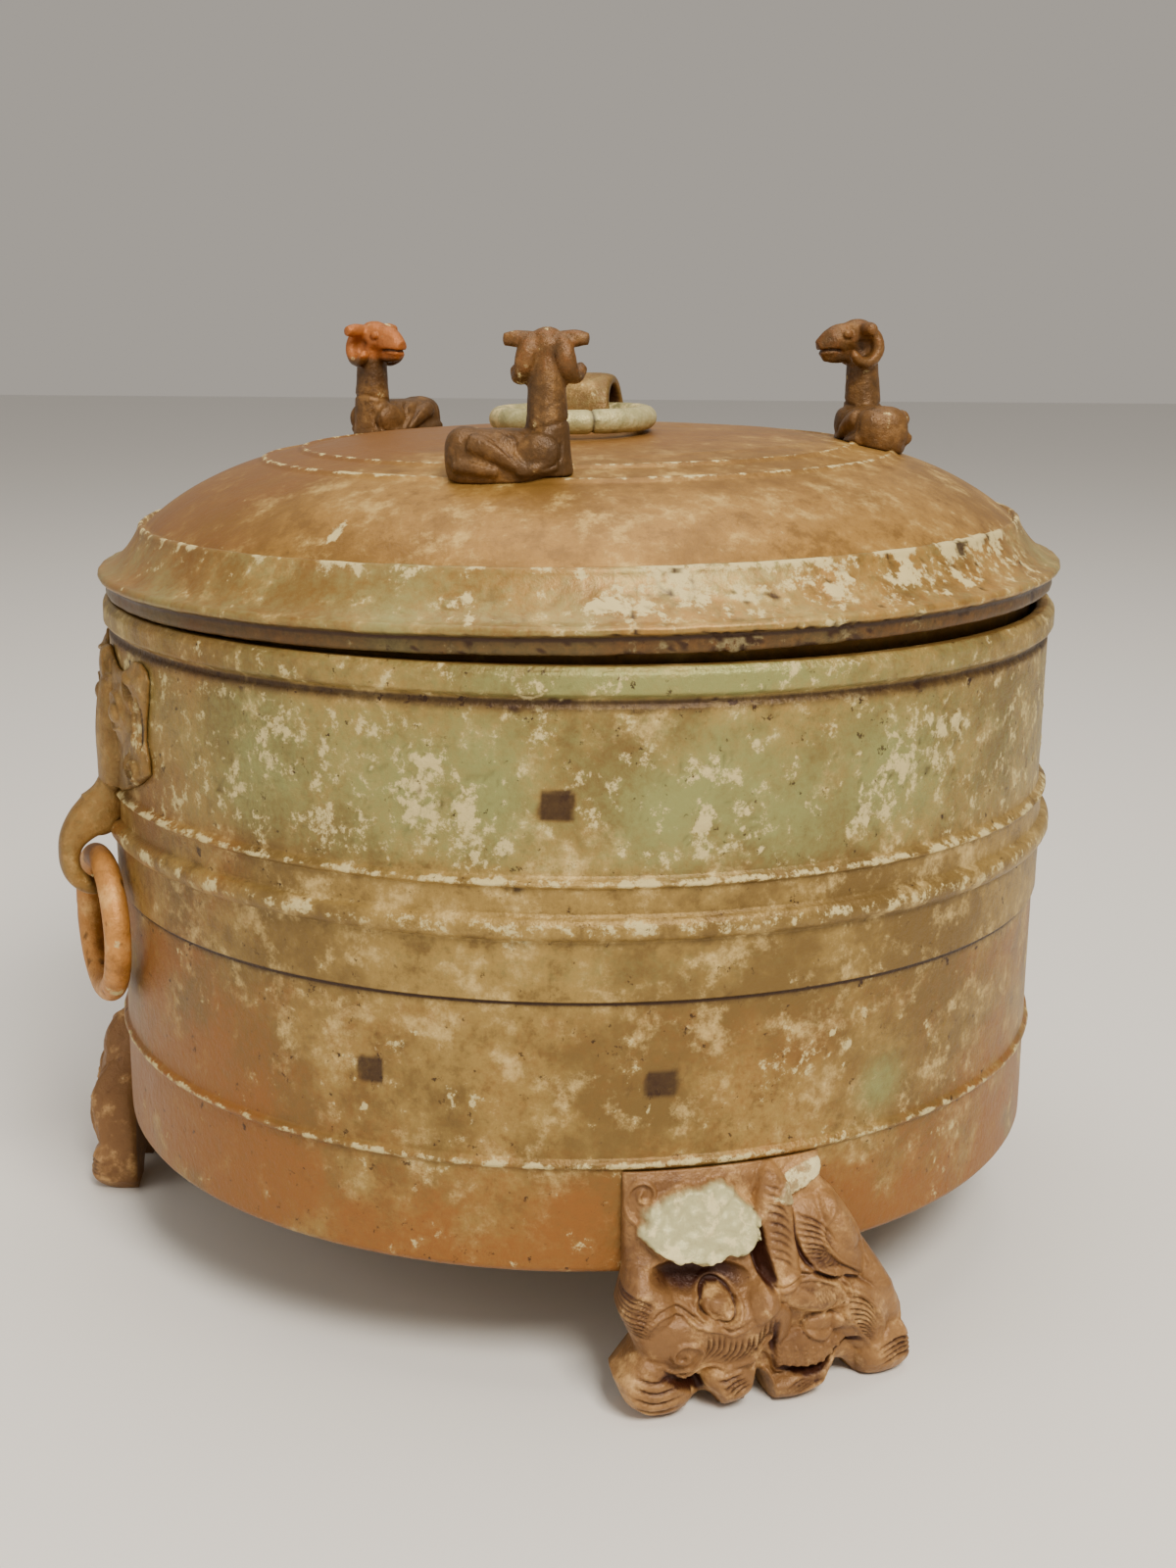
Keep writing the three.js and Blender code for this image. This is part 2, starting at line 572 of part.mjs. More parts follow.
function makeHandleRing(name, azimuthDeg) {
  const azimuth = radians(azimuthDeg);
  const ring = new THREE.Mesh(
    new THREE.TorusGeometry(handleRingRadius, HANDLE_RING_TUBE_RADIUS, RING_SIDES, RING_SEGMENTS)
      .rotateX(Math.PI / 2),
    finishes.body,
  );
  ring.name = name;
  ring.position.copy(onAxis(hookCentreRadius, azimuth, hookCentreHeight - handleRingRadius));
  ring.rotation.z = azimuth + radians(HANDLE_RING_TURN_DEG);
  return ring;
}

const handles = Object.entries(HANDLE_AZIMUTHS_DEG).flatMap(([side, azimuth]) => [
  makeMask(`mask_${side}`, azimuth),
  makeHandleRing(`handle_ring_${side}`, azimuth),
]);

// The whole stands on the floor, centred on its footprint
const group = new THREE.Group();
group.add(vessel, lidGroup, ...feet, ...handles);
group.updateMatrixWorld(true);
const extent = new THREE.Box3().setFromObject(group, true);
const middle = extent.getCenter(new THREE.Vector3());
group.position.set(-middle.x, -middle.y, -extent.min.z);

export default group;
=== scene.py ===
# %% [markdown]
# # A bronze wine warmer
#
# The real object is a cast bronze drum with a domed lid. It stands on three feet shaped like a
# beast's face, two masks on its wall hold loose rings, and three small rams lie round the lid.
# We start from its plain solids, which come in at their true size, and give each of them a finely
# shaped skin and an old, waxed patina. Nothing is moved: a skin stays where its solid stands.

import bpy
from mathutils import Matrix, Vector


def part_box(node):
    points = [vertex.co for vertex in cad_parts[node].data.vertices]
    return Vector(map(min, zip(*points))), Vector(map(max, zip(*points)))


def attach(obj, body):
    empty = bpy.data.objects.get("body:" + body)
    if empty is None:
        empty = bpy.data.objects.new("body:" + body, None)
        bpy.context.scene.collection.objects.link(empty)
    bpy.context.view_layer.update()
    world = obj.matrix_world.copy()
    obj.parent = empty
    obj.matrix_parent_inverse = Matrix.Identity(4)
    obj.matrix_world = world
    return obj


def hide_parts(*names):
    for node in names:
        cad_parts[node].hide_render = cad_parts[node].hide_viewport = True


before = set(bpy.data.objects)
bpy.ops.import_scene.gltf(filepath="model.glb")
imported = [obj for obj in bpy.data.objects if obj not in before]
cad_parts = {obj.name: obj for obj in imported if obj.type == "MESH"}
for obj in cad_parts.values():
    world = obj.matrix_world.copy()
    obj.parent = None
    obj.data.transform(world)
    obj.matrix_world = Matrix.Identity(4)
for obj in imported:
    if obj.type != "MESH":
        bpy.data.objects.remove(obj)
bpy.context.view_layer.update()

# %% Libraries
import math

import bmesh
import bpy
import numpy as np
from mathutils import Matrix, Vector

# %% [markdown]
# Small ornament is easier to think about in millimetres measured from the drum's own axis, with
# height 0 at its flat underside. One function turns such points into Blender's metres, and the
# axis itself is read from the box of the drum's solid, so it can't drift away from it.

# %% The drum's own frame
MM = 0.001
drum_low, drum_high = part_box("vessel")
AXIS = np.array([(drum_low.x + drum_high.x) / 2, (drum_low.y + drum_high.y) / 2, drum_low.z])
FOOT_DROP = drum_low.z / MM


def to_scene(points):
    return np.asarray(points, float) * MM + AXIS


def turned(points, degrees):
    """Turns points about the drum's axis, from the front towards the right."""
    angle = math.radians(degrees)
    points = np.asarray(points, float)
    x, y, z = points[..., 0], points[..., 1], points[..., 2]
    return np.stack([x * math.cos(angle) - y * math.sin(angle),
                     x * math.sin(angle) + y * math.cos(angle), z], axis=-1)


def around(radius, azimuth, height):
    """Points at an azimuth in radians, counted from the front towards the right."""
    radius, azimuth, height = np.broadcast_arrays(radius, azimuth, height)
    return np.stack([radius * np.sin(azimuth), -radius * np.cos(azimuth), height], axis=-1)


print("axis at", [round(float(v), 4) for v in AXIS], "feet reach down", round(FOOT_DROP, 1), "mm")

# %% [markdown]
# The photographer stood close, about half a metre from the axis, and looked slightly down. That
# closeness matters: it makes the near rim bulge and shows the top of the lid. We place the camera
# by that distance and tilt instead of framing by eye.

# %% Camera at the photograph's viewpoint
CAMERA_BACK = 0.4929
CAMERA_ABOVE_BASE = 0.1994
CAMERA_DOWN_DEG = 13.92
CAMERA_TURN_DEG = 0.30
CAMERA_ROLL_DEG = 0.45
CAMERA_LENS = 45.4
CAMERA_SENSOR = 36

lens = bpy.data.cameras.new("portrait_lens")
lens.lens = CAMERA_LENS
lens.sensor_width = CAMERA_SENSOR
lens.clip_start = 0.01
camera = bpy.data.objects.new("portrait_camera", lens)
camera.matrix_world = (
    Matrix.Translation(Vector(AXIS) + Vector((0, -CAMERA_BACK, CAMERA_ABOVE_BASE)))
    @ Matrix.Rotation(math.radians(-CAMERA_TURN_DEG), 4, "Z")
    @ Matrix.Rotation(math.radians(90 - CAMERA_DOWN_DEG), 4, "X")
    @ Matrix.Rotation(math.radians(CAMERA_ROLL_DEG), 4, "Z")
)
bpy.context.scene.collection.objects.link(camera)
bpy.context.scene.camera = camera
print("camera stands at", [round(v, 3) for v in camera.matrix_world.translation])

# %% [markdown]
# A museum piece reads best on a plain pale floor under big soft lamps. Area lamps are used
# because their size sets how soft the shadows and the sheen on the bronze are.

# %% Floor, lamps and surrounding light
FLOOR_HALF = 4.0
FLOOR_COLOUR, FLOOR_ROUGHNESS = (0.76, 0.75, 0.73, 1), 0.75
LAMP_TARGET = Vector((0, 0, 0.1))
AIR_COLOUR, AIR_STRENGTH = (0.9, 0.83, 0.74, 1), 0.47

floor_mesh = bpy.data.meshes.new("floor")
floor_mesh.from_pydata([(-FLOOR_HALF, -FLOOR_HALF, 0), (FLOOR_HALF, -FLOOR_HALF, 0),
                        (FLOOR_HALF, FLOOR_HALF, 0), (-FLOOR_HALF, FLOOR_HALF, 0)], [], [(0, 1, 2, 3)])
floor = bpy.data.objects.new("floor", floor_mesh)
bpy.context.scene.collection.objects.link(floor)
floor_paint = bpy.data.materials.new("pale_floor")
floor_paint.use_nodes = True
floor_shader = floor_paint.node_tree.nodes["Principled BSDF"]
floor_shader.inputs["Base Color"].default_value = FLOOR_COLOUR
floor_shader.inputs["Roughness"].default_value = FLOOR_ROUGHNESS
floor_mesh.materials.append(floor_paint)


def soft_lamp(name, place, power, size, colour=(1, 1, 1)):
    """A square lamp that looks at the middle of the drum."""
    light = bpy.data.lights.new(name, "AREA")
    light.energy = power
    light.size = size
    light.color = colour
    lamp = bpy.data.objects.new(name, light)
    lamp.location = place
    lamp.rotation_euler = (LAMP_TARGET - lamp.location).to_track_quat("-Z", "Y").to_euler()
    bpy.context.scene.collection.objects.link(lamp)
    return lamp


soft_lamp("key_lamp", Vector((0.4, -0.95, 1.15)), 29, 0.5, (1.0, 0.92, 0.8))
soft_lamp("fill_lamp", Vector((-1.2, -0.7, 0.6)), 4.5, 0.9, (1.0, 0.92, 0.82))
soft_lamp("top_lamp", Vector((0.0, 0.2, 1.5)), 11, 1.0, (1.0, 0.93, 0.83))
world = bpy.data.worlds.new("studio_air")
world.use_nodes = True
world.node_tree.nodes["Background"].inputs["Color"].default_value = AIR_COLOUR
world.node_tree.nodes["Background"].inputs["Strength"].default_value = AIR_STRENGTH
bpy.context.scene.world = world

# %% [markdown]
# Old bronze is uneven at every size: the wall waves a little, crusts stand proud of it and acid
# has bitten pits. We need a random field that is the same at each run, so we write one: every
# whole-number corner of space gets a fixed value, and points between corners are blended.

# %% A repeatable random field
def corner_value(cell, seed):
    """A fixed value from 0 to 1 for a corner of space; the large odd factors only scatter its bits."""
    mixed = cell[..., 0] * 374761393 + cell[..., 1] * 668265263 + cell[..., 2] * 1442695041 + seed * 97531
    mixed = mixed & 0xFFFFFFFF
    mixed = ((mixed ^ (mixed >> 13)) * 1274126177) & 0xFFFFFFFF
    return ((mixed ^ (mixed >> 16)) & 0xFFFF) / 65535


def lumps(points, size, seed):
    """A smooth field from -1 to 1 whose lumps are about size across."""
    scaled = np.asarray(points, float) / size
    cell = np.floor(scaled).astype(np.int64)
    part = scaled - cell
    ease = part * part * (3 - 2 * part)
    total = np.zeros(part.shape[:-1])
    for corner in range(8):
        step = np.array([(corner >> axis) & 1 for axis in range(3)])
        share = np.where(step == 1, ease, 1 - ease).prod(axis=-1)
        total += share * corner_value(cell + step, seed)
    return total * 2 - 1


def clouds(points, size, seed, octaves=4):
    """Lumps on lumps, each half the size and a little over half as strong."""
    layers = [lumps(points, size / 2 ** k, seed + k) * 0.55 ** k for k in range(octaves)]
    return sum(layers) / sum(0.55 ** k for k in range(octaves))


def ease_between(value, low, high):
    """0 below low, 1 above high, and a soft step between them."""
    share = np.clip((value - low) / (high - low), 0, 1)
    return share * share * (3 - 2 * share)


def flakes(points, size, seed, share):
    """Ragged plates of crust and the thin dark line round each; share says how many there are."""
    field = 0.62 * lumps(points, size, seed) + 0.38 * lumps(points, size * 0.47, seed + 1) + 1.5 * share
    plates = ease_between(field, 0.78, 0.95)
    return plates, ease_between(field, 0.56, 0.76) * (1 - plates)


sample = clouds(np.random.default_rng(1).uniform(-100, 100, (4000, 3)), 8, 5)
print("cloud field from", round(float(sample.min()), 2), "to", round(float(sample.max()), 2))

# %% [markdown]
# Every turned or carved surface here is a sheet of points in rows and columns. One function
# closes such a sheet into a mesh. It also stores, at each point, how much crust, green bloom,
# brown earth or dark hollow lies there, so that colour and relief always agree. The earth and
# hollow marks also carry painted shade, and the earth mark painted warm reflected light.

# %% From a sheet of points to a mesh piece
MERGE_DISTANCE = 2e-6


def add_marks(mesh, marks):
    for label, values in marks.items():
        layer = mesh.attributes.new(label, "FLOAT", "POINT")
        layer.data.foreach_set("value", np.asarray(values, np.float32).ravel())


def make_piece(name, points, faces, marks, body, replaced, paint):
    """Builds the mesh from points in the drum's frame and hooks it to its body and slot."""
    mesh = bpy.data.meshes.new(name)
    mesh.from_pydata(to_scene(points).tolist(), [], faces)
    add_marks(mesh, marks)
    shape = bmesh.new()
    shape.from_mesh(mesh)
    bmesh.ops.remove_doubles(shape, verts=shape.verts, dist=MERGE_DISTANCE)
    bmesh.ops.recalc_face_normals(shape, faces=shape.faces)
    shape.to_mesh(mesh)
    shape.free()
    mesh.shade_smooth()
    mesh.materials.append(paint)
    piece = bpy.data.objects.new(name, mesh)
    bpy.context.scene.collection.objects.link(piece)
    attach(piece, body)
    for node in replaced:
        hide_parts(node)
    print(name, "has", sum(len(f.vertices) - 2 for f in mesh.polygons), "triangles")


def sheet_faces(rows, columns, wrap_columns, wrap_rows=False, start=0):
    """Four-sided faces of a sheet whose points are numbered row by row."""
    row = np.arange(rows if wrap_rows else rows - 1)[:, None]
    column = np.arange(columns if wrap_columns else columns - 1)[None, :]
    row_after = (row + 1) % rows
    column_after = (column + 1) % columns
    quads = np.stack(np.broadcast_arrays(row * columns + column, row * columns + column_after,
                                         row_after * columns + column_after,
                                         row_after * columns + column), axis=-1)
    return (quads.reshape(-1, 4) + start).tolist()


def stations(*spans):
    """Values from span to span, each span with its own step, so that detail is where it is needed."""
    pieces = [np.linspace(a, b, max(2, round(abs(b - a) / step) + 1))[:-1] for a, b, step in spans]
    return np.concatenate(pieces + [np.array([spans[-1][1]])])


print("stations of a short test:", stations((0, 2, 1), (2, 3, 0.5)).tolist())

# %% [markdown]
# The finish is one recipe used with different colours. A waxed patina is a thin dull layer that
# still lets some metal sheen through, so the shader is a little metallic. The marks stored in the
# mesh say where crust, bloom, brown earth and hollows are, and where shade and warm reflected
# light are painted into the earth and hollow colours; fine noise breaks their edges.

# %% Node helpers
def paint_colour(code):
    """A colour written as in a paint chart, turned into the linear values that shaders use."""
    parts = [int(code[i:i + 2], 16) / 255 for i in (1, 3, 5)]
    return tuple(p / 12.92 if p <= 0.04045 else ((p + 0.055) / 1.055) ** 2.4 for p in parts) + (1,)


def add_node(tree, kind, inputs=(), **settings):
    made = tree.nodes.new(kind)
    for label, value in settings.items():
        setattr(made, label, value)
    for label, value in dict(inputs).items():
        if isinstance(value, bpy.types.NodeSocket):
            tree.links.new(value, made.inputs[label])
        else:
            made.inputs[label].default_value = value
    return made


def threshold(tree, value, low, high):
    return add_node(tree, "ShaderNodeMapRange", {"Value": value, "From Min": low, "From Max": high},
                    interpolation_type="SMOOTHSTEP").outputs["Result"]


def mix_colours(tree, share, first, second):
    mixer = add_node(tree, "ShaderNodeMix", data_type="RGBA")
    for socket, value in zip((mixer.inputs[0], mixer.inputs[6], mixer.inputs[7]), (share, first, second)):
        if isinstance(value, bpy.types.NodeSocket):
            tree.links.new(value, socket)
        else:
            socket.default_value = value
    return mixer.outputs[2]


def calculate(tree, operation, *values):
    return add_node(tree, "ShaderNodeMath", dict(enumerate(values)), operation=operation).outputs[0]


# %% The patina recipe
SPECULAR_LEVEL = 0.36
BUMP_DEPTH = 0.0009


def patina(name, ground, shade, light, crust="#c6b682", bloom="#96966b", earth_and_shade="#96673a", hollow_and_shade="#35200f",
           sheen=0.56, metal=0.32, grain=0.7, pocks=0.75):
    """ground, shade and light are the metal's own tones; the other colours lie on top of it. The brown also
    paints shade and warm reflected light, and the dark of the hollows also paints shade.
    """
    paint = bpy.data.materials.new(name)
    paint.use_nodes = True
    tree = paint.node_tree
    shader = tree.nodes["Principled BSDF"]
    shader.inputs["Metallic"].default_value = metal
    shader.inputs["Specular IOR Level"].default_value = SPECULAR_LEVEL
    place = add_node(tree, "ShaderNodeTexCoord").outputs["Object"]

    def noise(scale, detail, rough=0.6):
        return add_node(tree, "ShaderNodeTexNoise", {
            "Vector": place, "Scale": scale, "Detail": detail, "Roughness": rough}).outputs["Fac"]

    def mark(label):
        return add_node(tree, "ShaderNodeAttribute", attribute_name=label).outputs["Fac"]

    broad, middle, fine = noise(22, 6, 0.7), noise(115, 7, 0.72), noise(520, 4, 0.7)
    ragged, pocked = noise(230, 8, 0.75), noise(330, 5, 0.7)
    tone = mix_colours(tree, threshold(tree, broad, 0.42, 0.62), paint_colour(ground), paint_colour(shade))
    tone = mix_colours(tree, threshold(tree, middle, 0.5, 0.7), tone, paint_colour(light))
    tone = mix_colours(tree, threshold(tree, middle, 0.5, 0.34), tone, paint_colour(shade))
    speck = calculate(tree, "MULTIPLY", threshold(tree, fine, 0.5, 0.72), 0.35)
    tone = mix_colours(tree, speck, tone, paint_colour(shade))
    broken = calculate(tree, "MULTIPLY_ADD", fine, 0.9, -0.45)
    flaky = calculate(tree, "MULTIPLY_ADD", ragged, 2.9, -1.45)
    # The earth mark holds brown and also painted shade and painted warm reflected light.
    for label, colour in (("earth_and_shade", earth_and_shade), ("bloom", bloom)):
        share = threshold(tree, calculate(tree, "ADD", mark(label), broken), 0.1, 1.1)
        tone = mix_colours(tree, share, tone, paint_colour(colour))
    crust_here = threshold(tree, calculate(tree, "ADD", mark("crust"), flaky), 0.42, 0.68)
    tone = mix_colours(tree, crust_here, tone, paint_colour(crust))
    pock = calculate(tree, "MULTIPLY", threshold(tree, pocked, 0.6, 0.7), pocks)
    # The hollow mark holds real pits and also painted shade in grooves, crevices, recesses and under edges.
    dug = calculate(tree, "ADD", calculate(tree, "MULTIPLY_ADD", broken, 0.5, mark("hollow_and_shade")), pock)
    hollow_and_shade_here = threshold(tree, dug, 0.1, 0.95)
    tone = mix_colours(tree, hollow_and_shade_here, tone, paint_colour(hollow_and_shade))
    tree.links.new(tone, shader.inputs["Base Color"])

    dull = calculate(tree, "MULTIPLY_ADD", crust_here, 0.3, 1 - sheen)
    dull = calculate(tree, "MULTIPLY_ADD", calculate(tree, "SUBTRACT", middle, 0.5), 0.35, dull)
    tree.links.new(dull, shader.inputs["Roughness"])
    height = calculate(tree, "MULTIPLY_ADD", fine, 0.6, calculate(tree, "MULTIPLY", middle, 0.5))
    bump = add_node(tree, "ShaderNodeBump", {"Height": height, "Strength": grain, "Distance": BUMP_DEPTH})
    tree.links.new(bump.outputs["Normal"], shader.inputs["Normal"])
    return paint


body_paint = patina("waxed_body_bronze", "#957a41", "#6d5529", "#c6ab6e", bloom="#888952", earth_and_shade="#875622")
lid_paint = patina("waxed_lid_bronze", "#997338", "#7a5826", "#bb9c5c", bloom="#93905a", earth_and_shade="#80562a",
                   grain=0.3, pocks=0.2)
mask_paint = patina("brown_mask_bronze", "#876330", "#644720", "#ac8a52", bloom="#847c48", pocks=0.3)
figure_paint = patina("dark_figure_bronze", "#63441f", "#463016", "#835f33", earth_and_shade="#a4602b", metal=0.25,
                      pocks=0.25)
foot_paint = patina("tan_foot_bronze", "#9d7445", "#7c5833", "#c79e66", crust="#dccf9e", bloom="#b9b486",
                    hollow_and_shade="#38190a", metal=0.2, pocks=0.25)
pale_ring_paint = patina("pale_ring_bronze", "#bdb07c", "#9a8e5e", "#dbd09e", hollow_and_shade="#2a1d10", pocks=0.2)
worn_ring_paint = patina("worn_ring_bronze", "#bb8242", "#8f602c", "#d9aa68", sheen=0.5, pocks=0.3)
print("finishes:", [m.name for m in bpy.data.materials])

# %% [markdown]
# ## The drum
#
# The body was cast with raised threads and bands, then filed round. A lathe-like sheet is the
# natural way: the outer radius is a function of height, and the random fields add waves, crusts
# and pits on top. Rows are packed closely at the bands and spread out on the plain wall.

# %% Sizes of the drum
WALL_RADIUS = 115.0
WALL_THICKNESS = 3.4
FLOOR_THICKNESS = 3.2
RIM_TOP = 129.1
RIM_BAND_BOTTOM = 122.7
RIM_BAND_PROUD = 1.2
THREAD_HEIGHTS = (24.5, 85.4)
THREAD_WIDTH = 2.3
THREAD_PROUD = 1.15
COLLAR_BOTTOM, COLLAR_TOP, COLLAR_PROUD = 60.0, 85.4, 0.8
ROUND_BAND_HEIGHT, ROUND_BAND_WIDTH, ROUND_BAND_PROUD = 76.0, 5.4, 2.2
RIM_GROOVE, LIP_ROUNDING, BASE_ROUNDING = 0.7, 1.1, 0.6


def half_round(value, middle, width):
    """The section of a half-round band, 1 at its middle and 0 from its edges on."""
    share = np.clip(1 - ((value - middle) / (width / 2)) ** 2, 0, None)
    return np.sqrt(share)


def drum_radius(height):
    """The drum's outer radius as it was turned, without dents or crust."""
    collar = (ease_between(height, COLLAR_BOTTOM - 0.2, COLLAR_BOTTOM + 0.4)
              - ease_between(height, COLLAR_TOP - 0.4, COLLAR_TOP + 0.6))
    radius = WALL_RADIUS + COLLAR_PROUD * collar
    for middle in THREAD_HEIGHTS:
        radius = radius + THREAD_PROUD * half_round(height, middle, THREAD_WIDTH) ** 1.5
    radius = radius + ROUND_BAND_PROUD * half_round(height, ROUND_BAND_HEIGHT, ROUND_BAND_WIDTH)
    radius = radius - RIM_GROOVE * ease_between(height, RIM_BAND_BOTTOM - 2.0, RIM_BAND_BOTTOM - 1.2)
    rim_band = ease_between(height, RIM_BAND_BOTTOM - 0.3, RIM_BAND_BOTTOM + 1.3)
    radius = radius + (RIM_BAND_PROUD + RIM_GROOVE) * rim_band
    radius = radius - LIP_ROUNDING * ease_between(height, RIM_TOP - 2.2, RIM_TOP) ** 2
    return radius - BASE_ROUNDING * (1 - ease_between(height, 0.0, 1.3)) ** 2


# Each span has its ends and the step between its rows, which is smallest at threads and bands.
drum_heights = stations((0, 1.4, 0.5), (1.4, 22.8, 1.5), (22.8, 26.2, 0.34), (26.2, 59.2, 1.5),
                        (59.2, 61, 0.3), (61, 72.8, 1.3), (72.8, 79.2, 0.45), (79.2, 83.8, 1.1),
                        (83.8, 87.2, 0.34),
                        (87.2, 120, 0.95), (120, 124.6, 0.4), (124.6, 127, 0.8), (127, RIM_TOP, 0.45))
drum_degrees = stations((-96, 96, 0.44), (96, 264, 1.4))[:-1]
print("rows on the outside:", len(drum_heights), "columns:", len(drum_degrees))

# %% [markdown]
# Where the crust sits is part of the portrait. A short list names the spots that catch the eye:
# the azimuth in degrees, the height, how far they spread, and how thick they are. Everywhere else
# the random field decides, so the back is as old as the front but quieter. The earth mark paints
# the wall browner near its foot, as painted warm reflected light, and where it turns away from the
# front, as painted shade; random clouds break both up.

# %% Crust, bloom, stains, painted shade and reflected light, and old test patches on the drum
CRUST_SPOTS = [(-31, 108, 11, 8, 0.62), (-40, 97, 9, 9, 0.35), (-26, 93, 8, 5, 0.6), (-13, 101, 13, 7, 0.75),
               (-16, 109, 8, 5, 0.7), (-9, 92, 9, 4, 0.5), (10, 107, 10, 7, 0.5), (15, 96, 9, 7, 0.7),
               (36, 105, 13, 8, 0.85), (42, 112, 8, 6, 0.7), (33, 96, 9, 6, 0.4), (-6, 84, 5, 2.5, 0.8),
               (-6, 73, 5, 3, 0.9), (-19, 50, 9, 4, 0.85), (-22, 43, 8, 6, 0.5), (-11, 38, 9, 5, 0.7),
               (-24, 33, 6, 4, 0.8), (9, 41, 9, 6, 0.6), (28, 46, 13, 7, 0.65), (22, 40, 8, 6, 0.6),
               (35, 34, 7, 6, 0.55), (-17, 19, 14, 7, 0.35), (-32, 15, 9, 8, 0.3), (47, 13, 6, 9, 0.7),
               (46, 9, 6, 6, 0.45), (44, 42, 8, 9, 0.35), (-3, 125, 8, 2.5, 0.8), (18, 126, 9, 2.5, 0.5)]
BLOOM_SPOTS = [(-15, 104, 26, 15, 0.75), (14, 101, 22, 14, 0.95), (35, 103, 20, 13, 0.6),
               (-34, 106, 16, 14, 0.5), (0, 67, 45, 6, 0.4), (35, 35, 9, 8, 0.8), (10, 126, 50, 4, 0.8),
               (28, 42, 14, 9, 0.35)]
TEST_PATCHES = [(-2.2, 101.2, 3.7, 3.4), (-21.9, 42.3, 3.1, 3.3), (8.8, 42.2, 3.6, 3.0)]
# The painted shade grows between two places on each side, given as sines of 22 and 50, 44 and 62 degrees.
SHADE_ON_LEFT, SHADE_ON_RIGHT = (0.375, 0.766), (0.695, 0.883)


def spots(azimuth_deg, height, places, radius):
    """Soft spots on a round wall, strongest where two or more of them meet."""
    total = np.zeros(np.broadcast(azimuth_deg, height).shape)
    for middle, level, half_width, half_height, strength in places:
        across = np.radians((azimuth_deg - middle + 180) % 360 - 180) * radius / half_width
        total = np.maximum(total, strength * np.exp(-across ** 2 - ((height - level) / half_height) ** 2))
    return total


def drum_marks(azimuth_deg, height, points):
    """How much crust, bloom, browning, pits and test patch each point of the wall has; the browning is
    painted shade and warm reflected light, broken up at random.
    """
    upper_panel = ease_between(height, 84, 90) * (1 - ease_between(height, 118, 123))
    low_panel = 1 - ease_between(height, 56, 62)
    rim = ease_between(height, RIM_BAND_BOTTOM - 0.5, RIM_BAND_BOTTOM + 0.5)
    wide = clouds(points, 55, 11)
    crust_share = 0.72 * spots(azimuth_deg, height, CRUST_SPOTS, WALL_RADIUS)
    crust_share = crust_share + 0.22 * upper_panel * (0.6 + wide)
    crust_share = crust_share + 0.1 * low_panel * wide + 0.16 * rim * (0.3 + wide)
    crust_share = crust_share * (0.8 + 0.5 * clouds(points, 13, 22))
    crust, crust_line = flakes(points, 2.6, 21, crust_share)
    dusted = 0.06 + 0.5 * crust_share + 0.15 * upper_panel + 0.14 * rim + 0.24 * clouds(points, 9, 23)
    bloom = spots(azimuth_deg, height, BLOOM_SPOTS, WALL_RADIUS) + 0.45 * upper_panel + 0.4 * rim
    bloom = bloom * (0.75 + 0.5 * clouds(points, 16, 41))
    # Painted shade: browner where the wall turns away from the front, on the right only low down.
    aside = np.sin(np.radians(azimuth_deg))
    turned_away = ease_between(-aside, *SHADE_ON_LEFT)
    turned_away = turned_away + 0.6 * ease_between(aside, *SHADE_ON_RIGHT) * low_panel
    # Painted warm reflected light: browner towards the foot of the wall and on the lower panel.
    earth_and_shade = 0.6 * (1 - ease_between(height, 8, 34)) + 0.35 * low_panel + 0.5 * turned_away
    earth_and_shade = np.clip(earth_and_shade * (0.85 + 1.1 * clouds(points, 15, 42)), 0, 0.9)
    pits = 0.8 * ease_between(lumps(points, 2.1, 51) + 0.9 * crust_share, 0.98, 1.2)
    patch = np.zeros_like(crust)
    for middle, level, half_width, half_height in TEST_PATCHES:
        across = np.abs(np.radians(azimuth_deg - middle)) * WALL_RADIUS / half_width
        square = np.maximum(across, np.abs(height - level) / half_height)
        patch = np.maximum(patch, 1 - ease_between(square + 0.12 * lumps(points, 2.5, 61), 0.86, 1.08))
    crust = np.maximum(0.66 * crust, np.clip(dusted, 0, 0.45)) * (1 - patch)
    return crust, bloom * (1 - 0.7 * patch), earth_and_shade, np.maximum(pits, 0.5 * crust_line) * (1 - patch), patch


# %% The drum's outer face
CREVICE_HEIGHTS = (25.9, 84.0, 86.8, 79.2, 72.9)
azimuths = np.radians(drum_degrees)
turned_face = around(drum_radius(drum_heights)[:, None], azimuths[None, :], drum_heights[:, None])
azimuth_deg = np.broadcast_to(np.degrees(azimuths), turned_face.shape[:2])
height_grid = np.broadcast_to(drum_heights[:, None], turned_face.shape[:2])
crust, bloom, earth_and_shade, pits, patch = drum_marks(azimuth_deg, height_grid, turned_face)
waves = 0.28 * clouds(turned_face, 70, 71) + 0.07 * clouds(turned_face, 9, 72)
band_wear = 0.14 * lumps(turned_face, 5, 73) * ease_between(drum_radius(drum_heights), 115.4, 116.2)[:, None]
relief = waves + band_wear + 0.6 * np.maximum(crust - 0.3, 0) - 0.24 * pits - 0.25 * patch
crest = np.maximum.reduce([half_round(height_grid, level, THREAD_WIDTH * 0.8) for level in THREAD_HEIGHTS])
crest = np.maximum(crest, 0.8 * half_round(height_grid, ROUND_BAND_HEIGHT + 0.3, ROUND_BAND_WIDTH * 0.7))
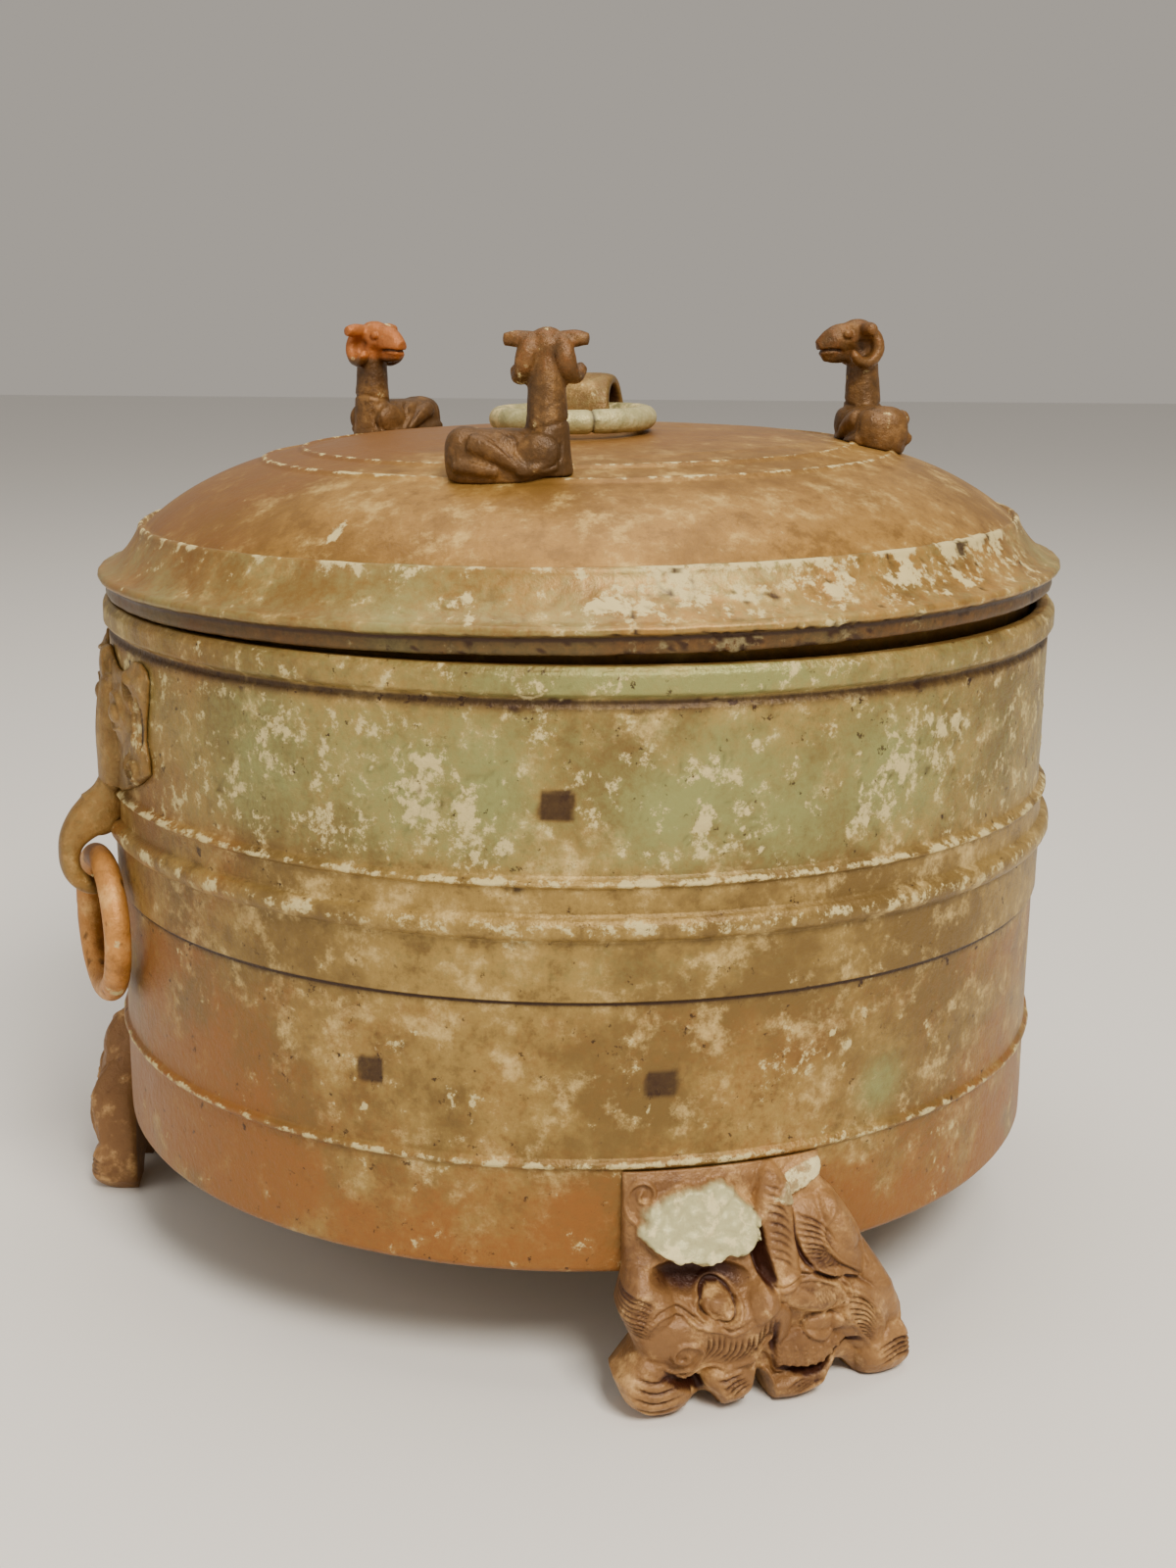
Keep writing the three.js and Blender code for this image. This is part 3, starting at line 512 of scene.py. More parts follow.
# Painted shade: darker under the rim band, below the collar's lower step and in the crevices beside the
# threads and the round band; pits and test patches are real.
shade_under_rim_band = ease_between(height_grid, 118.5, 121.6) * (1 - ease_between(height_grid, 122.0, 123.0))
shade_below_collar = ease_between(height_grid, 58.6, 59.8) * (1 - ease_between(height_grid, 60.0, 60.6))
shade_beside_threads = sum(0.6 * np.exp(-((height_grid - level) / 0.5) ** 2) for level in CREVICE_HEIGHTS)
hollow_and_shade = np.clip(0.75 * pits + 0.75 * shade_under_rim_band + 1.0 * shade_below_collar + 0.78 * patch
                 + 0.45 * shade_beside_threads * (0.6 + clouds(turned_face, 12, 74)), 0, 1)
outer_face = around(drum_radius(height_grid) + relief, azimuths[None, :], height_grid)
print("crusted share of the wall:", round(float((crust > 0.5).mean()), 3))

# %% The drum's mouth, inside and underside close the sheet
inner = WALL_RADIUS - WALL_THICKNESS
inside_path = [(WALL_RADIUS + RIM_BAND_PROUD - 1.9, RIM_TOP + 0.05), (inner + 0.9, RIM_TOP + 0.05),
               (inner, RIM_TOP - 0.8), (inner, 96), (inner, 60), (inner, 30), (inner, FLOOR_THICKNESS + 3),
               (inner - 0.9, FLOOR_THICKNESS + 0.9), (inner - 3, FLOOR_THICKNESS), (70, FLOOR_THICKNESS),
               (30, FLOOR_THICKNESS), (0, FLOOR_THICKNESS)]
under_path = [(0, 0), (30, 0), (75, 0), (108, 0), (113.4, 0)]


def turned_path(path):
    return np.stack([around(radius, azimuths, height) for radius, height in path])


drum_points = np.concatenate([turned_path(under_path), outer_face, turned_path(inside_path)])


def padded(values, before, after, fill=0.0):
    """Extends a mark from the outer face to the rows under and inside the drum."""
    rows = [np.full((before, values.shape[1]), fill), values, np.full((after, values.shape[1]), fill)]
    return np.concatenate(rows)


drum_marks_by_name = {
    "crust": padded(np.maximum(crust, 0.55 * crest), len(under_path), len(inside_path)),
    "earth_and_shade": padded(earth_and_shade, len(under_path), len(inside_path), 0.6),
    "bloom": padded(np.clip(bloom, 0, 1), len(under_path), len(inside_path), 0.3),
    "hollow_and_shade": padded(hollow_and_shade, len(under_path), len(inside_path), 0.35),
}
rows, columns = drum_points.shape[:2]
make_piece("drum_body", drum_points.reshape(-1, 3), sheet_faces(rows, columns, True),
           drum_marks_by_name, "body", ["vessel"], body_paint)

# %% [markdown]
# ## The lid
#
# The lid is a low dome whose edge flares out like a skirt and ends in a narrow band. It sits a
# little askew: the left edge rests on the rim and the right edge gapes. Its own tilt is one small
# rotation, shared by everything that stands on it.

# %% Sizes of the lid and its seat
LID_TILT_DEG = 0.9
LID_BAND_RADIUS = 115.2
LID_EDGE_RADIUS = 117.0
LID_EDGE_TOP = 6.0
SKIRT_TOP_RADIUS, SKIRT_TOP_HEIGHT = 106.4, 14.2
LID_HEIGHT, LID_FLAT_RADIUS = 36.6, 17.0
LID_THREADS = ((57.5, 0.22), (67.2, 0.62), (76.5, 0.62))
LID_WALL = 3.1
BAND_INSIDE, BAND_STEP = 112.1, 1.8
FLANGE_OUTER, FLANGE_INNER, FLANGE_DROP = 110.3, 108.1, 6.0
SEAT_GAP = 0.3
AROUND_LID = 600


def on_lid(points):
    """Moves points from the lid's own frame, height 0 at its band's underside, on to the drum."""
    tilt = math.radians(LID_TILT_DEG)
    points = np.asarray(points, float)
    x, y, z = points[..., 0], points[..., 1], points[..., 2]
    lift = RIM_TOP + SEAT_GAP + LID_BAND_RADIUS * math.sin(tilt)
    return np.stack([x * math.cos(tilt) - z * math.sin(tilt), y,
                     x * math.sin(tilt) + z * math.cos(tilt) + lift], axis=-1)


def dome_height(radius):
    """Height of the dome's outside above the underside of the lid's band."""
    reach = np.clip((radius - LID_FLAT_RADIUS) / (SKIRT_TOP_RADIUS - LID_FLAT_RADIUS), 0, 1)
    rise = LID_HEIGHT - SKIRT_TOP_HEIGHT
    return SKIRT_TOP_HEIGHT + rise * (0.8 * (1 - reach ** 3.9) ** 0.9 + 0.2 * (1 - reach))


def lid_outer_path():
    """Radius and height from the middle of the dome to the underside of the band."""
    dome = stations((0.0, 50, 3.0), (50, 63, 1.3), (63, 70, 0.5), (70, 74, 0.9), (74, 79, 0.5),
                    (79, 99, 1.35), (99, 105.6, 0.9))
    heights = dome_height(dome)
    for radius, proud in LID_THREADS:
        heights = heights + proud * half_round(dome, radius, 2.4) ** 1.6
    bead = [(SKIRT_TOP_RADIUS + r, SKIRT_TOP_HEIGHT + h) for r, h in
            ((-0.7, 1.7), (-0.3, 2.0), (0.2, 1.9), (0.6, 1.4), (0.8, 0.7), (1.0, 0.1))]
    run = np.linspace(0.05, 0.9, 16)
    skirt = [(SKIRT_TOP_RADIUS + 1.1 + (LID_EDGE_RADIUS - SKIRT_TOP_RADIUS - 1.1) * s,
              LID_EDGE_TOP + (14.0 - LID_EDGE_TOP) * (1 - s) ** 2.0) for s in run]
    edge = [(LID_EDGE_RADIUS + r, h) for r, h in
            ((-0.5, 5.9), (-0.1, 5.4), (0, 4.8), (-0.25, 4.3), (-0.8, 4.0))]
    edge += [(LID_BAND_RADIUS + r, h) for r, h in ((0.5, 3.7), (0.1, 3.3), (0, 2.6), (0, 1.8), (0, 1.0),
                                                   (-0.2, 0.3), (-0.6, 0))]
    return np.array(list(zip(dome, heights)) + bead + skirt + edge)


outer_path = lid_outer_path()
inner_path = np.array([(BAND_INSIDE, 0), (BAND_INSIDE, BAND_STEP), (110.7, BAND_STEP),
                       (FLANGE_OUTER, -FLANGE_DROP), (FLANGE_INNER, -FLANGE_DROP), (FLANGE_INNER, 3.2),
                       (103.7, 13.0), (97, dome_height(97) - 4.2), (85, dome_height(85) - 3.4),
                       (60, dome_height(60) - LID_WALL), (30, LID_HEIGHT - 3.9), (0, LID_HEIGHT - LID_WALL)])
print("lid rows:", len(outer_path), "+", len(inner_path))

# %% Crust, bloom, scratches, painted shade and painted reflected light on the lid
LID_CRUST_SPOTS = [(-10, 8.5, 7, 4, 0.6), (-3, 8, 9, 4, 0.5), (5, 9, 10, 5, 0.8), (10, 12, 8, 5, 0.9),
                   (18, 8, 10, 5, 0.75), (27, 11, 10, 5, 0.8), (38, 10, 12, 6, 0.95), (48, 13, 12, 7, 1.0),
                   (57, 15, 10, 8, 0.9), (14, 2, 12, 3, 0.8), (27, 3, 12, 3, 0.7), (62, 9, 9, 6, 0.7),
                   (40, 20, 9, 3, 0.4)]
LID_SHADE_ON_LEFT = (0.5, 0.883)
BAND_SHADE_HEIGHT = 3.4
SCRATCH_DEG, SCRATCH_RADIUS = 329.6, 98

lid_azimuths = np.linspace(0, 2 * np.pi, AROUND_LID, endpoint=False)
lid_face = around(outer_path[:, 0][:, None], lid_azimuths[None, :], outer_path[:, 1][:, None])
lid_radius = np.broadcast_to(outer_path[:, 0][:, None], lid_face.shape[:2])
lid_level = np.broadcast_to(outer_path[:, 1][:, None], lid_face.shape[:2])
lid_degrees = np.broadcast_to(np.degrees(lid_azimuths), lid_face.shape[:2])
on_skirt = ease_between(lid_radius, SKIRT_TOP_RADIUS - 3.5, SKIRT_TOP_RADIUS + 0.3)
wide = clouds(lid_face, 60, 111)
named_spots = spots(lid_degrees, lid_level, LID_CRUST_SPOTS, 114)
crust_share = on_skirt * (0.75 * named_spots + 0.14 * (0.2 + wide))
crust_share = crust_share * (0.8 + 0.5 * clouds(lid_face, 12, 122))
lid_crust, crust_line = flakes(lid_face, 2.4, 121, crust_share)
lid_crust = np.maximum(0.7 * lid_crust, np.clip(0.5 * crust_share + 0.14 * on_skirt, 0, 0.42))
lid_pits = ease_between(lumps(lid_face, 2.2, 131) + 0.85 * crust_share, 0.95, 1.15)
lid_pits = np.maximum(lid_pits, 0.5 * crust_line)
lid_bloom = np.clip(on_skirt * (0.42 + 0.5 * clouds(lid_face, 18, 141)), 0, 1)
in_band_shade = on_skirt * (lid_level < BAND_SHADE_HEIGHT)
# Painted light in the earth mark: warm reflected light on the top of the dome, shade on the band under the
# edge and on the left side; the stretched clouds are real brown streaks.
lid_earth_and_shade = 0.7 * (1 - ease_between(lid_radius, 40, 88)) + 0.8 * in_band_shade
lid_earth_and_shade = lid_earth_and_shade + 0.7 * ease_between(-np.sin(np.radians(lid_degrees)), *LID_SHADE_ON_LEFT)
dome_clouds = clouds(lid_face * np.array([0.3, 1, 1]), 14, 142) * (1 - on_skirt)
lid_earth_and_shade = np.clip(lid_earth_and_shade + 0.5 * dome_clouds, 0, 1)
streaks = clouds(lid_face * np.array([0.35, 1, 1]), 7, 151)
bead_scale = np.exp(-(lid_radius - SKIRT_TOP_RADIUS) ** 2)
bead_scale = bead_scale * ease_between(clouds(lid_face, 7, 152), -0.25, 0.2)
lid_relief = (0.16 * clouds(lid_face, 60, 161) + 0.05 * clouds(lid_face, 8, 162)
              + 0.55 * np.maximum(lid_crust - 0.3, 0) - 0.3 * lid_pits
              + 0.1 * on_skirt * lumps(lid_face, 4, 163))
scratch = np.exp(-((lid_degrees - SCRATCH_DEG) / 0.9) ** 2 - ((lid_radius - SCRATCH_RADIUS) / 3.0) ** 2)
line_crest = sum(half_round(lid_radius, thread[0], 1.8) for thread in LID_THREADS[1:])
# Painted shade: a dark line under the rolled edge and the band in the edge's shadow; pits and streaks are
# real.
lid_hollow_and_shade = np.clip(0.8 * lid_pits + 0.7 * np.exp(-((lid_level - 3.7) / 0.6) ** 2) * on_skirt
                     + 0.65 * in_band_shade + 0.16 * streaks * (1 - on_skirt), 0, 1)
print("crusted share of the lid:", round(float((lid_crust > 0.5).mean()), 3))


# %% The lid's mesh
def normals_of_path(path):
    """Unit directions, radius and height, that point out of a turned face."""
    along = np.gradient(path, axis=0)
    outward = np.stack([-along[:, 1], along[:, 0]], axis=1)
    return outward / np.maximum(np.linalg.norm(outward, axis=1, keepdims=True), 1e-9)


facing = normals_of_path(outer_path)
path_radius, path_height = outer_path[:, :1], outer_path[:, 1:]
lid_skin = around(path_radius + facing[:, :1] * lid_relief * (path_radius > 1),
                  lid_azimuths[None, :], path_height + facing[:, 1:] * lid_relief)
lid_inside = np.stack([around(radius, lid_azimuths, height) for radius, height in inner_path])
lid_points = on_lid(np.concatenate([lid_skin, lid_inside]))
lid_crust = np.clip(lid_crust + 0.55 * bead_scale + scratch + 0.5 * line_crest, 0, 1)
lid_marks = {
    "crust": padded(lid_crust, 0, len(inner_path)),
    "earth_and_shade": padded(lid_earth_and_shade, 0, len(inner_path), 0.5),
    "bloom": padded(lid_bloom, 0, len(inner_path), 0.3),
    "hollow_and_shade": padded(lid_hollow_and_shade, 0, len(inner_path), 0.35),
}
rows, columns = lid_points.shape[:2]
make_piece("lid_dome", lid_points.reshape(-1, 3), sheet_faces(rows, columns, True),
           lid_marks, "body", ["lid"], lid_paint)

# %% [markdown]
# ## Tools for carved faces
#
# The feet and masks are shallow carvings wrapped round the wall. A heightfield is enough: one
# depth for each point of a flat drawing, u across and h up, which is then bent round the drum.
# The carver's moves become a few functions: a swelling, a groove or ridge that follows a curve,
# a spiral, and a fan of hair strokes between two curves. At the end the carved front is joined to
# a plain back along their border.

# %% Carving moves
def swelling(u, h, middle, half, height, power=0.6, turn_deg=0.0):
    """A rounded mound, an ellipse seen from the front, turned by an angle."""
    angle = math.radians(turn_deg)
    du, dh = u - middle[0], h - middle[1]
    across = (du * math.cos(angle) + dh * math.sin(angle)) / half[0]
    up = (-du * math.sin(angle) + dh * math.cos(angle)) / half[1]
    return height * np.clip(1 - across ** 2 - up ** 2, 0, None) ** power


def curve_through(points, count=28):
    """A smooth open curve through a few chosen points (a Catmull-Rom spline)."""
    points = np.asarray(points, float)
    ends = np.concatenate([[2 * points[0] - points[1]], points, [2 * points[-1] - points[-2]]])
    pieces = []
    for i in range(len(points) - 1):
        a, b, c, d = ends[i:i + 4]
        t = np.linspace(0, 1, max(3, count // (len(points) - 1)), endpoint=i == len(points) - 2)[:, None]
        pieces.append(0.5 * (2 * b + (c - a) * t + (2 * a - 5 * b + 4 * c - d) * t ** 2
                             + (3 * b - 3 * c + d - a) * t ** 3))
    return np.concatenate(pieces)


def distance_to(u, h, curve):
    """Distance from each point to a curve, and how far along the curve the nearest place is."""
    best = np.full(u.shape, 1e9)
    along = np.zeros(u.shape)
    for i in range(len(curve) - 1):
        a, b = curve[i], curve[i + 1]
        run = b - a
        share = np.clip(((u - a[0]) * run[0] + (h - a[1]) * run[1]) / max(run @ run, 1e-9), 0, 1)
        reach = np.hypot(u - a[0] - share * run[0], h - a[1] - share * run[1])
        nearer = reach < best
        best = np.where(nearer, reach, best)
        along = np.where(nearer, (i + share) / (len(curve) - 1), along)
    return best, along


def ridge(u, h, points, width, height, taper=0.35, smooth=True):
    """A raised cord along a curve; a negative height cuts a groove. It thins towards both ends."""
    curve = curve_through(points) if smooth else np.asarray(points, float)
    reach, along = distance_to(u, h, curve)
    fade = np.clip(np.minimum(along, 1 - along) / taper, 0, 1) ** 0.5 if taper else 1.0
    return height * np.maximum(fade, 0.25) * np.clip(1 - (reach / (width / 2)) ** 2, 0, None)


def spiral_points(middle, radius, turns, start_deg, sense=1):
    """A spiral that winds in from its radius to a seventh of it."""
    t = np.linspace(0, 1, int(14 * turns) + 6)
    angle = math.radians(start_deg) + sense * 2 * math.pi * turns * t
    reach = radius * (1 - 0.86 * t)
    return np.stack([middle[0] + reach * np.cos(angle), middle[1] + reach * np.sin(angle)], axis=1)


def hair(u, h, first, second, count, width=0.5, depth=-0.4):
    """A fan of fine strokes that lead from points on one curve to points on another."""
    starts, ends = curve_through(first, 60), curve_through(second, 60)
    total = np.zeros(u.shape)
    for i in range(count):
        place = (i + 0.5) / count
        a = starts[int(place * (len(starts) - 1))]
        b = ends[int(place * (len(ends) - 1))]
        sag = np.array([-(b - a)[1], (b - a)[0]]) * 0.12
        stroke = ridge(u, h, [a, (a + b) / 2 + sag, b], width, 1.0, 0.3)
        total = np.maximum(total, stroke)
    return depth * total


def closed_shell(front, back):
    """A front and a back sheet of the same size joined along their border."""
    rows, columns = front.shape[:2]
    count = rows * columns
    faces = sheet_faces(rows, columns, False)
    faces += [tuple(reversed(f)) for f in sheet_faces(rows, columns, False, start=count)]
    index = np.arange(count).reshape(rows, columns)
    border = np.concatenate([index[0], index[1:, -1], index[-1, -2::-1], index[-2:0:-1, 0]])
    faces += [(int(b), int(a), int(a) + count, int(b) + count) for a, b in zip(border, np.roll(border, -1))]
    return np.concatenate([front.reshape(-1, 3), back.reshape(-1, 3)]), faces


test_u, test_h = np.meshgrid(np.linspace(-5, 5, 41), np.linspace(-5, 5, 41))
print("a mound of height 2 peaks at", float(swelling(test_u, test_h, (0, 0), (3, 3), 2).max()))

# %% [markdown]
# ## The feet
#
# Each foot is a bracket with a beast's face: a mane that sweeps round an eye, an ear with a tuft
# of hair, a beaded muzzle and clawed paws. The front one also carries a pale lump of corrosion
# that has swallowed a curl. The drawing below is laid out once and shared by all three.

# %% The foot's outline and slab
FOOT_AZIMUTHS = {"foot_front": 20, "foot_left": -98, "foot_back": 140}
FOOT_TOP = 51.9
FOOT_LEFT_EDGE = [(0, -27), (4, -31), (9, -33), (15.5, -28.5), (24, -32), (31, -30.5), (52, -30.5)]
FOOT_RIGHT_EDGE = [(0, 31), (3, 33.5), (9, 33), (16, 30.5), (24, 26.5), (36, 20.5), (43, 16.5), (46, 13.5),
                   (52, 13)]
FOOT_SLAB = [(0, 7.4), (4, 9), (12, 9.2), (18, 10.4), (23, 11.6), (28, 10), (36, 6), (45, 2.9), (52, 1.7)]
SOLE_GAPS = [(-14.2, 3.4, 3.4), (-2.6, 2.6, 6.5), (15.5, 5.6, 4.8)]
FOOT_ROWS, FOOT_COLUMNS = 150, 184


def along_edge(points, height):
    levels, values = zip(*points)
    return np.interp(height, levels, values)


def sole_rise(u):
    """How far the sole is hollowed up between the paws and the claws."""
    return sum(rise * np.clip(1 - ((u - middle) / half) ** 2, 0, None) for middle, half, rise in SOLE_GAPS)


print("the foot is drawn with", FOOT_ROWS, "rows of", FOOT_COLUMNS, "points")


# %% The beast's face in low relief
# Each mound has its middle, its half size, its height, a power that rounds it, and a turn.
FACE_FORMS = [
    ((-28.5, 24.5), (7.5, 9.5), 3.2, 0.6, 0), ((-17, 16), (14.5, 7.2), 3.9, 0.6, -8),
    ((-6, 17.5), (9.5, 8.5), 4.2, 0.6, 38), ((-3.8, 23.6), (3.6, 6.0), 5.2, 0.6, -12),
    ((6, 10.5), (11.5, 5.4), 3.3, 0.6, -12), ((19.5, 15), (7.6, 9.8), 3.9, 0.6, 24),
    ((7.5, 24.6), (8.4, 4.6), 3.2, 0.6, -18), ((0.6, 38), (4.6, 14), 4.6, 0.35, 0),
    ((11, 33), (8.5, 11), 3.6, 0.6, 28), ((14.6, 37), (4.4, 7.4), 4.9, 0.6, 20),
    ((-26, 7), (9.5, 7.6), 5.4, 0.5, -30), ((-9.4, 6.2), (6.2, 5.0), 4.2, 0.5, 38),
    ((5.6, 3.6), (8.6, 3.6), 4.4, 0.5, 14), ((27, 5), (7.6, 7.4), 4.6, 0.5, 20),
    ((25, 19), (5, 13), 2.6, 0.6, 18),
]
EYE, EYE_HALF, PUPIL_RING = (-12.6, 25.2), 3.2, 2.1
RIGHT_EYE = (9.8, 15.9)
# Each ridge has its points, width and height, and some have a taper of their own.
FACE_RIDGES = [
    (spiral_points((-19.4, 15.4), 4.6, 1.5, -150), 1.1, 1.1, 0.1, False),
    (spiral_points((-26.2, 47.4), 3.4, 1.3, 200, -1), 1.2, 1.0, 0.1, False),
    ([(-30, 50), (-30, 44), (-26, 40.5), (-22, 38)], 1.4, 1.3),
    ([(-27, 13.5), (-20, 9.8), (-10, 10.6), (-2.6, 14.6), (0.2, 20.5)], 1.4, 0.9),
    ([(13, 24.5), (19.5, 20), (23.5, 13), (22.6, 7.6)], 1.3, 0.9),
    ([(13.2, 24), (14.5, 17), (18.5, 10.5), (22.4, 7.6)], 1.2, 0.8),
    ([(15.2, 44), (10.2, 36.6), (12.6, 31), (18, 27)], 1.2, 1.0),
    ([(15.4, 44), (19, 34), (20.6, 27)], 1.2, 1.0),
    ([(4.7, 44), (4.4, 36), (7.5, 29.6), (15, 26.2), (20, 23.5)], 1.3, -1.4),
    ([(-4.3, 41), (-3.4, 34), (-2.0, 28)], 3.0, -3.6, 0.2),
    ([(-0.6, 20), (-1.4, 15), (-1.0, 9.5)], 1.6, -1.6),
    ([(0, 8.4), (6, 6.8), (14, 7.2), (19, 9.2)], 2.2, -2.6),
    ([(-24, 11.5), (-17, 6.5), (-14.6, 1.0)], 2.2, -2.8),
    ([(26.5, 24), (29.5, 14), (29.5, 8.5)], 1.1, 0.7),
]
for shift in (0.0, 1.9):
    FACE_RIDGES.append(([(-27.5, 19 + shift), (-25, 24 + shift), (-20.5, 24.6 + shift), (-15.5, 20.8 + shift),
                         (-10, 19.6 + shift), (-5.6, 22 + shift)], 1.3, 1.0))
for grow in (0.0, 1.7):
    FACE_RIDGES.append(([(-1.5, 26.6 + grow), (5, 28.6 + grow), (11 + grow, 26.4 + grow / 2),
                         (13 + grow, 21.6), (9.6, 18.8 - grow / 3)], 1.3, 1.1, 0.15))
for level in (3.2, 5.6, 8.0, 10.2):
    FACE_RIDGES.append(([(-29, level + 1.2), (-25, level - 0.4), (-20, level + 0.4)], 0.9, -0.8))
# Each tuft of hair has two curves, the number of strokes between them, their width and depth.
FACE_HAIR = [
    ([(-33, 29), (-32, 20)], [(-24, 26), (-26, 19)], 9, 0.7, -0.7),
    ([(-15.5, 19), (-8, 18.6), (-1, 21)], [(-17, 12), (-10, 12), (-3, 14.6)], 13, 0.65, -0.75),
    ([(5.4, 41), (5.2, 34), (8, 30)], [(12, 36), (13.5, 30), (19, 25)], 11, 0.7, -0.8),
    ([(13.4, 22.5), (15, 15), (18.4, 10)], [(21.5, 17), (22, 12), (22, 9)], 9, 0.6, -0.65),
    ([(-1.8, 49), (-1.8, 33)], [(3, 46), (3, 30)], 9, 0.7, -0.6),
    ([(3, 27.5), (10, 26)], [(8, 22), (12, 21.5)], 6, 0.6, -0.55),
    ([(-13, 6.4), (-9, 3.6)], [(-7.6, 9.5), (-5.4, 6)], 4, 0.8, -0.8),
    ([(1, 3.6), (4, 1.6)], [(10, 5.4), (12, 4)], 4, 0.8, -0.7),
    ([(23, 8), (24, 3)], [(32, 8), (32, 4)], 4, 0.9, -0.9),
]
print("the face has", len(FACE_FORMS), "mounds,", len(FACE_RIDGES), "lines and", len(FACE_HAIR), "tufts")


# %% The face's forms and lines put together
def highest(u, h, forms):
    """Overlapping mounds: at each point the highest of them counts."""
    return np.maximum.reduce([swelling(u, h, *form) for form in forms])


def drawn_lines(u, h, ridges, tufts):
    """All ridges, grooves and hair strokes of a drawing together."""
    return sum(ridge(u, h, *line) for line in ridges) + sum(hair(u, h, *tuft) for tuft in tufts)


def beaded_muzzle(u, h):
    """Small round beads in slanting rows."""
    total = np.zeros(u.shape)
    for step in range(8):
        for bead in range(6):
            middle = (-0.2 + 1.9 * step + 0.16 * bead, 13.6 - 0.42 * step - 1.02 * bead)
            total += 0.55 * np.clip(1 - ((u - middle[0]) ** 2 + (h - middle[1]) ** 2) / 0.3, 0, None)
    return total


def face_lines(u, h):
    """The two eyes, the ridges, grooves and hair strokes, and the beads, on top of the forms."""
    reach = np.hypot(u - EYE[0], h - EYE[1])
    eye = 2.6 * np.clip(1 - (reach / EYE_HALF) ** 2, 0, None) ** 0.5
    eye += 0.7 * np.exp(-((reach - 4.3) / 0.5) ** 2) - 0.9 * np.exp(-((reach - 3.4) / 0.45) ** 2)
    eye -= 0.6 * np.exp(-((reach - PUPIL_RING) / 0.3) ** 2) * (u < EYE[0] + 1)
    lens = swelling(u, h, RIGHT_EYE, (4.6, 2.9), 1.0, 0.5, -14)
    right_eye = 1.9 * lens - 1.0 * np.exp(-((lens - 0.2) / 0.16) ** 2)
    return eye + right_eye + drawn_lines(u, h, FACE_RIDGES, FACE_HAIR) + beaded_muzzle(u, h)

# %% Corrosion that only the front foot carries
LUMP_MIDDLE, LUMP_HALF = (-15.0, 41.0), (13.2, 8.6)
print("the pale lump is about", 2 * LUMP_HALF[0], "mm wide and", 2 * LUMP_HALF[1], "mm high")


def corrosion(u, h, points):
    """Height of the pale crust and the cavity that it has left open underneath; the foot paints the cavity as
    shade.
    """
    edge = 1 - ((u - LUMP_MIDDLE[0]) / LUMP_HALF[0]) ** 2 - ((h - LUMP_MIDDLE[1]) / LUMP_HALF[1]) ** 2
    edge = edge + 0.35 * clouds(points, 5, 301)
    lump = ease_between(edge, 0.0, 0.28)
    band = ease_between(1 - ((u - 7) / 7.5) ** 2 - ((h - 47.5 - 0.35 * (u - 7)) / 3.4) ** 2
                        + 0.4 * clouds(points, 4, 302), 0.1, 0.5)
    hollow_and_shade = swelling(u, h, (-15.5, 30.4), (10.4, 3.8), 1.0, 0.7, -6)
    return lump, band, hollow_and_shade * (1 - lump)


# %% The foot's mesh
SLAB_SHARE, LEAST_DEPTH = 0.86, 1.3
SIDE_ROLL, TOP_ROLL, SOLE_ROLL = 3.2, 2.0, 2.6


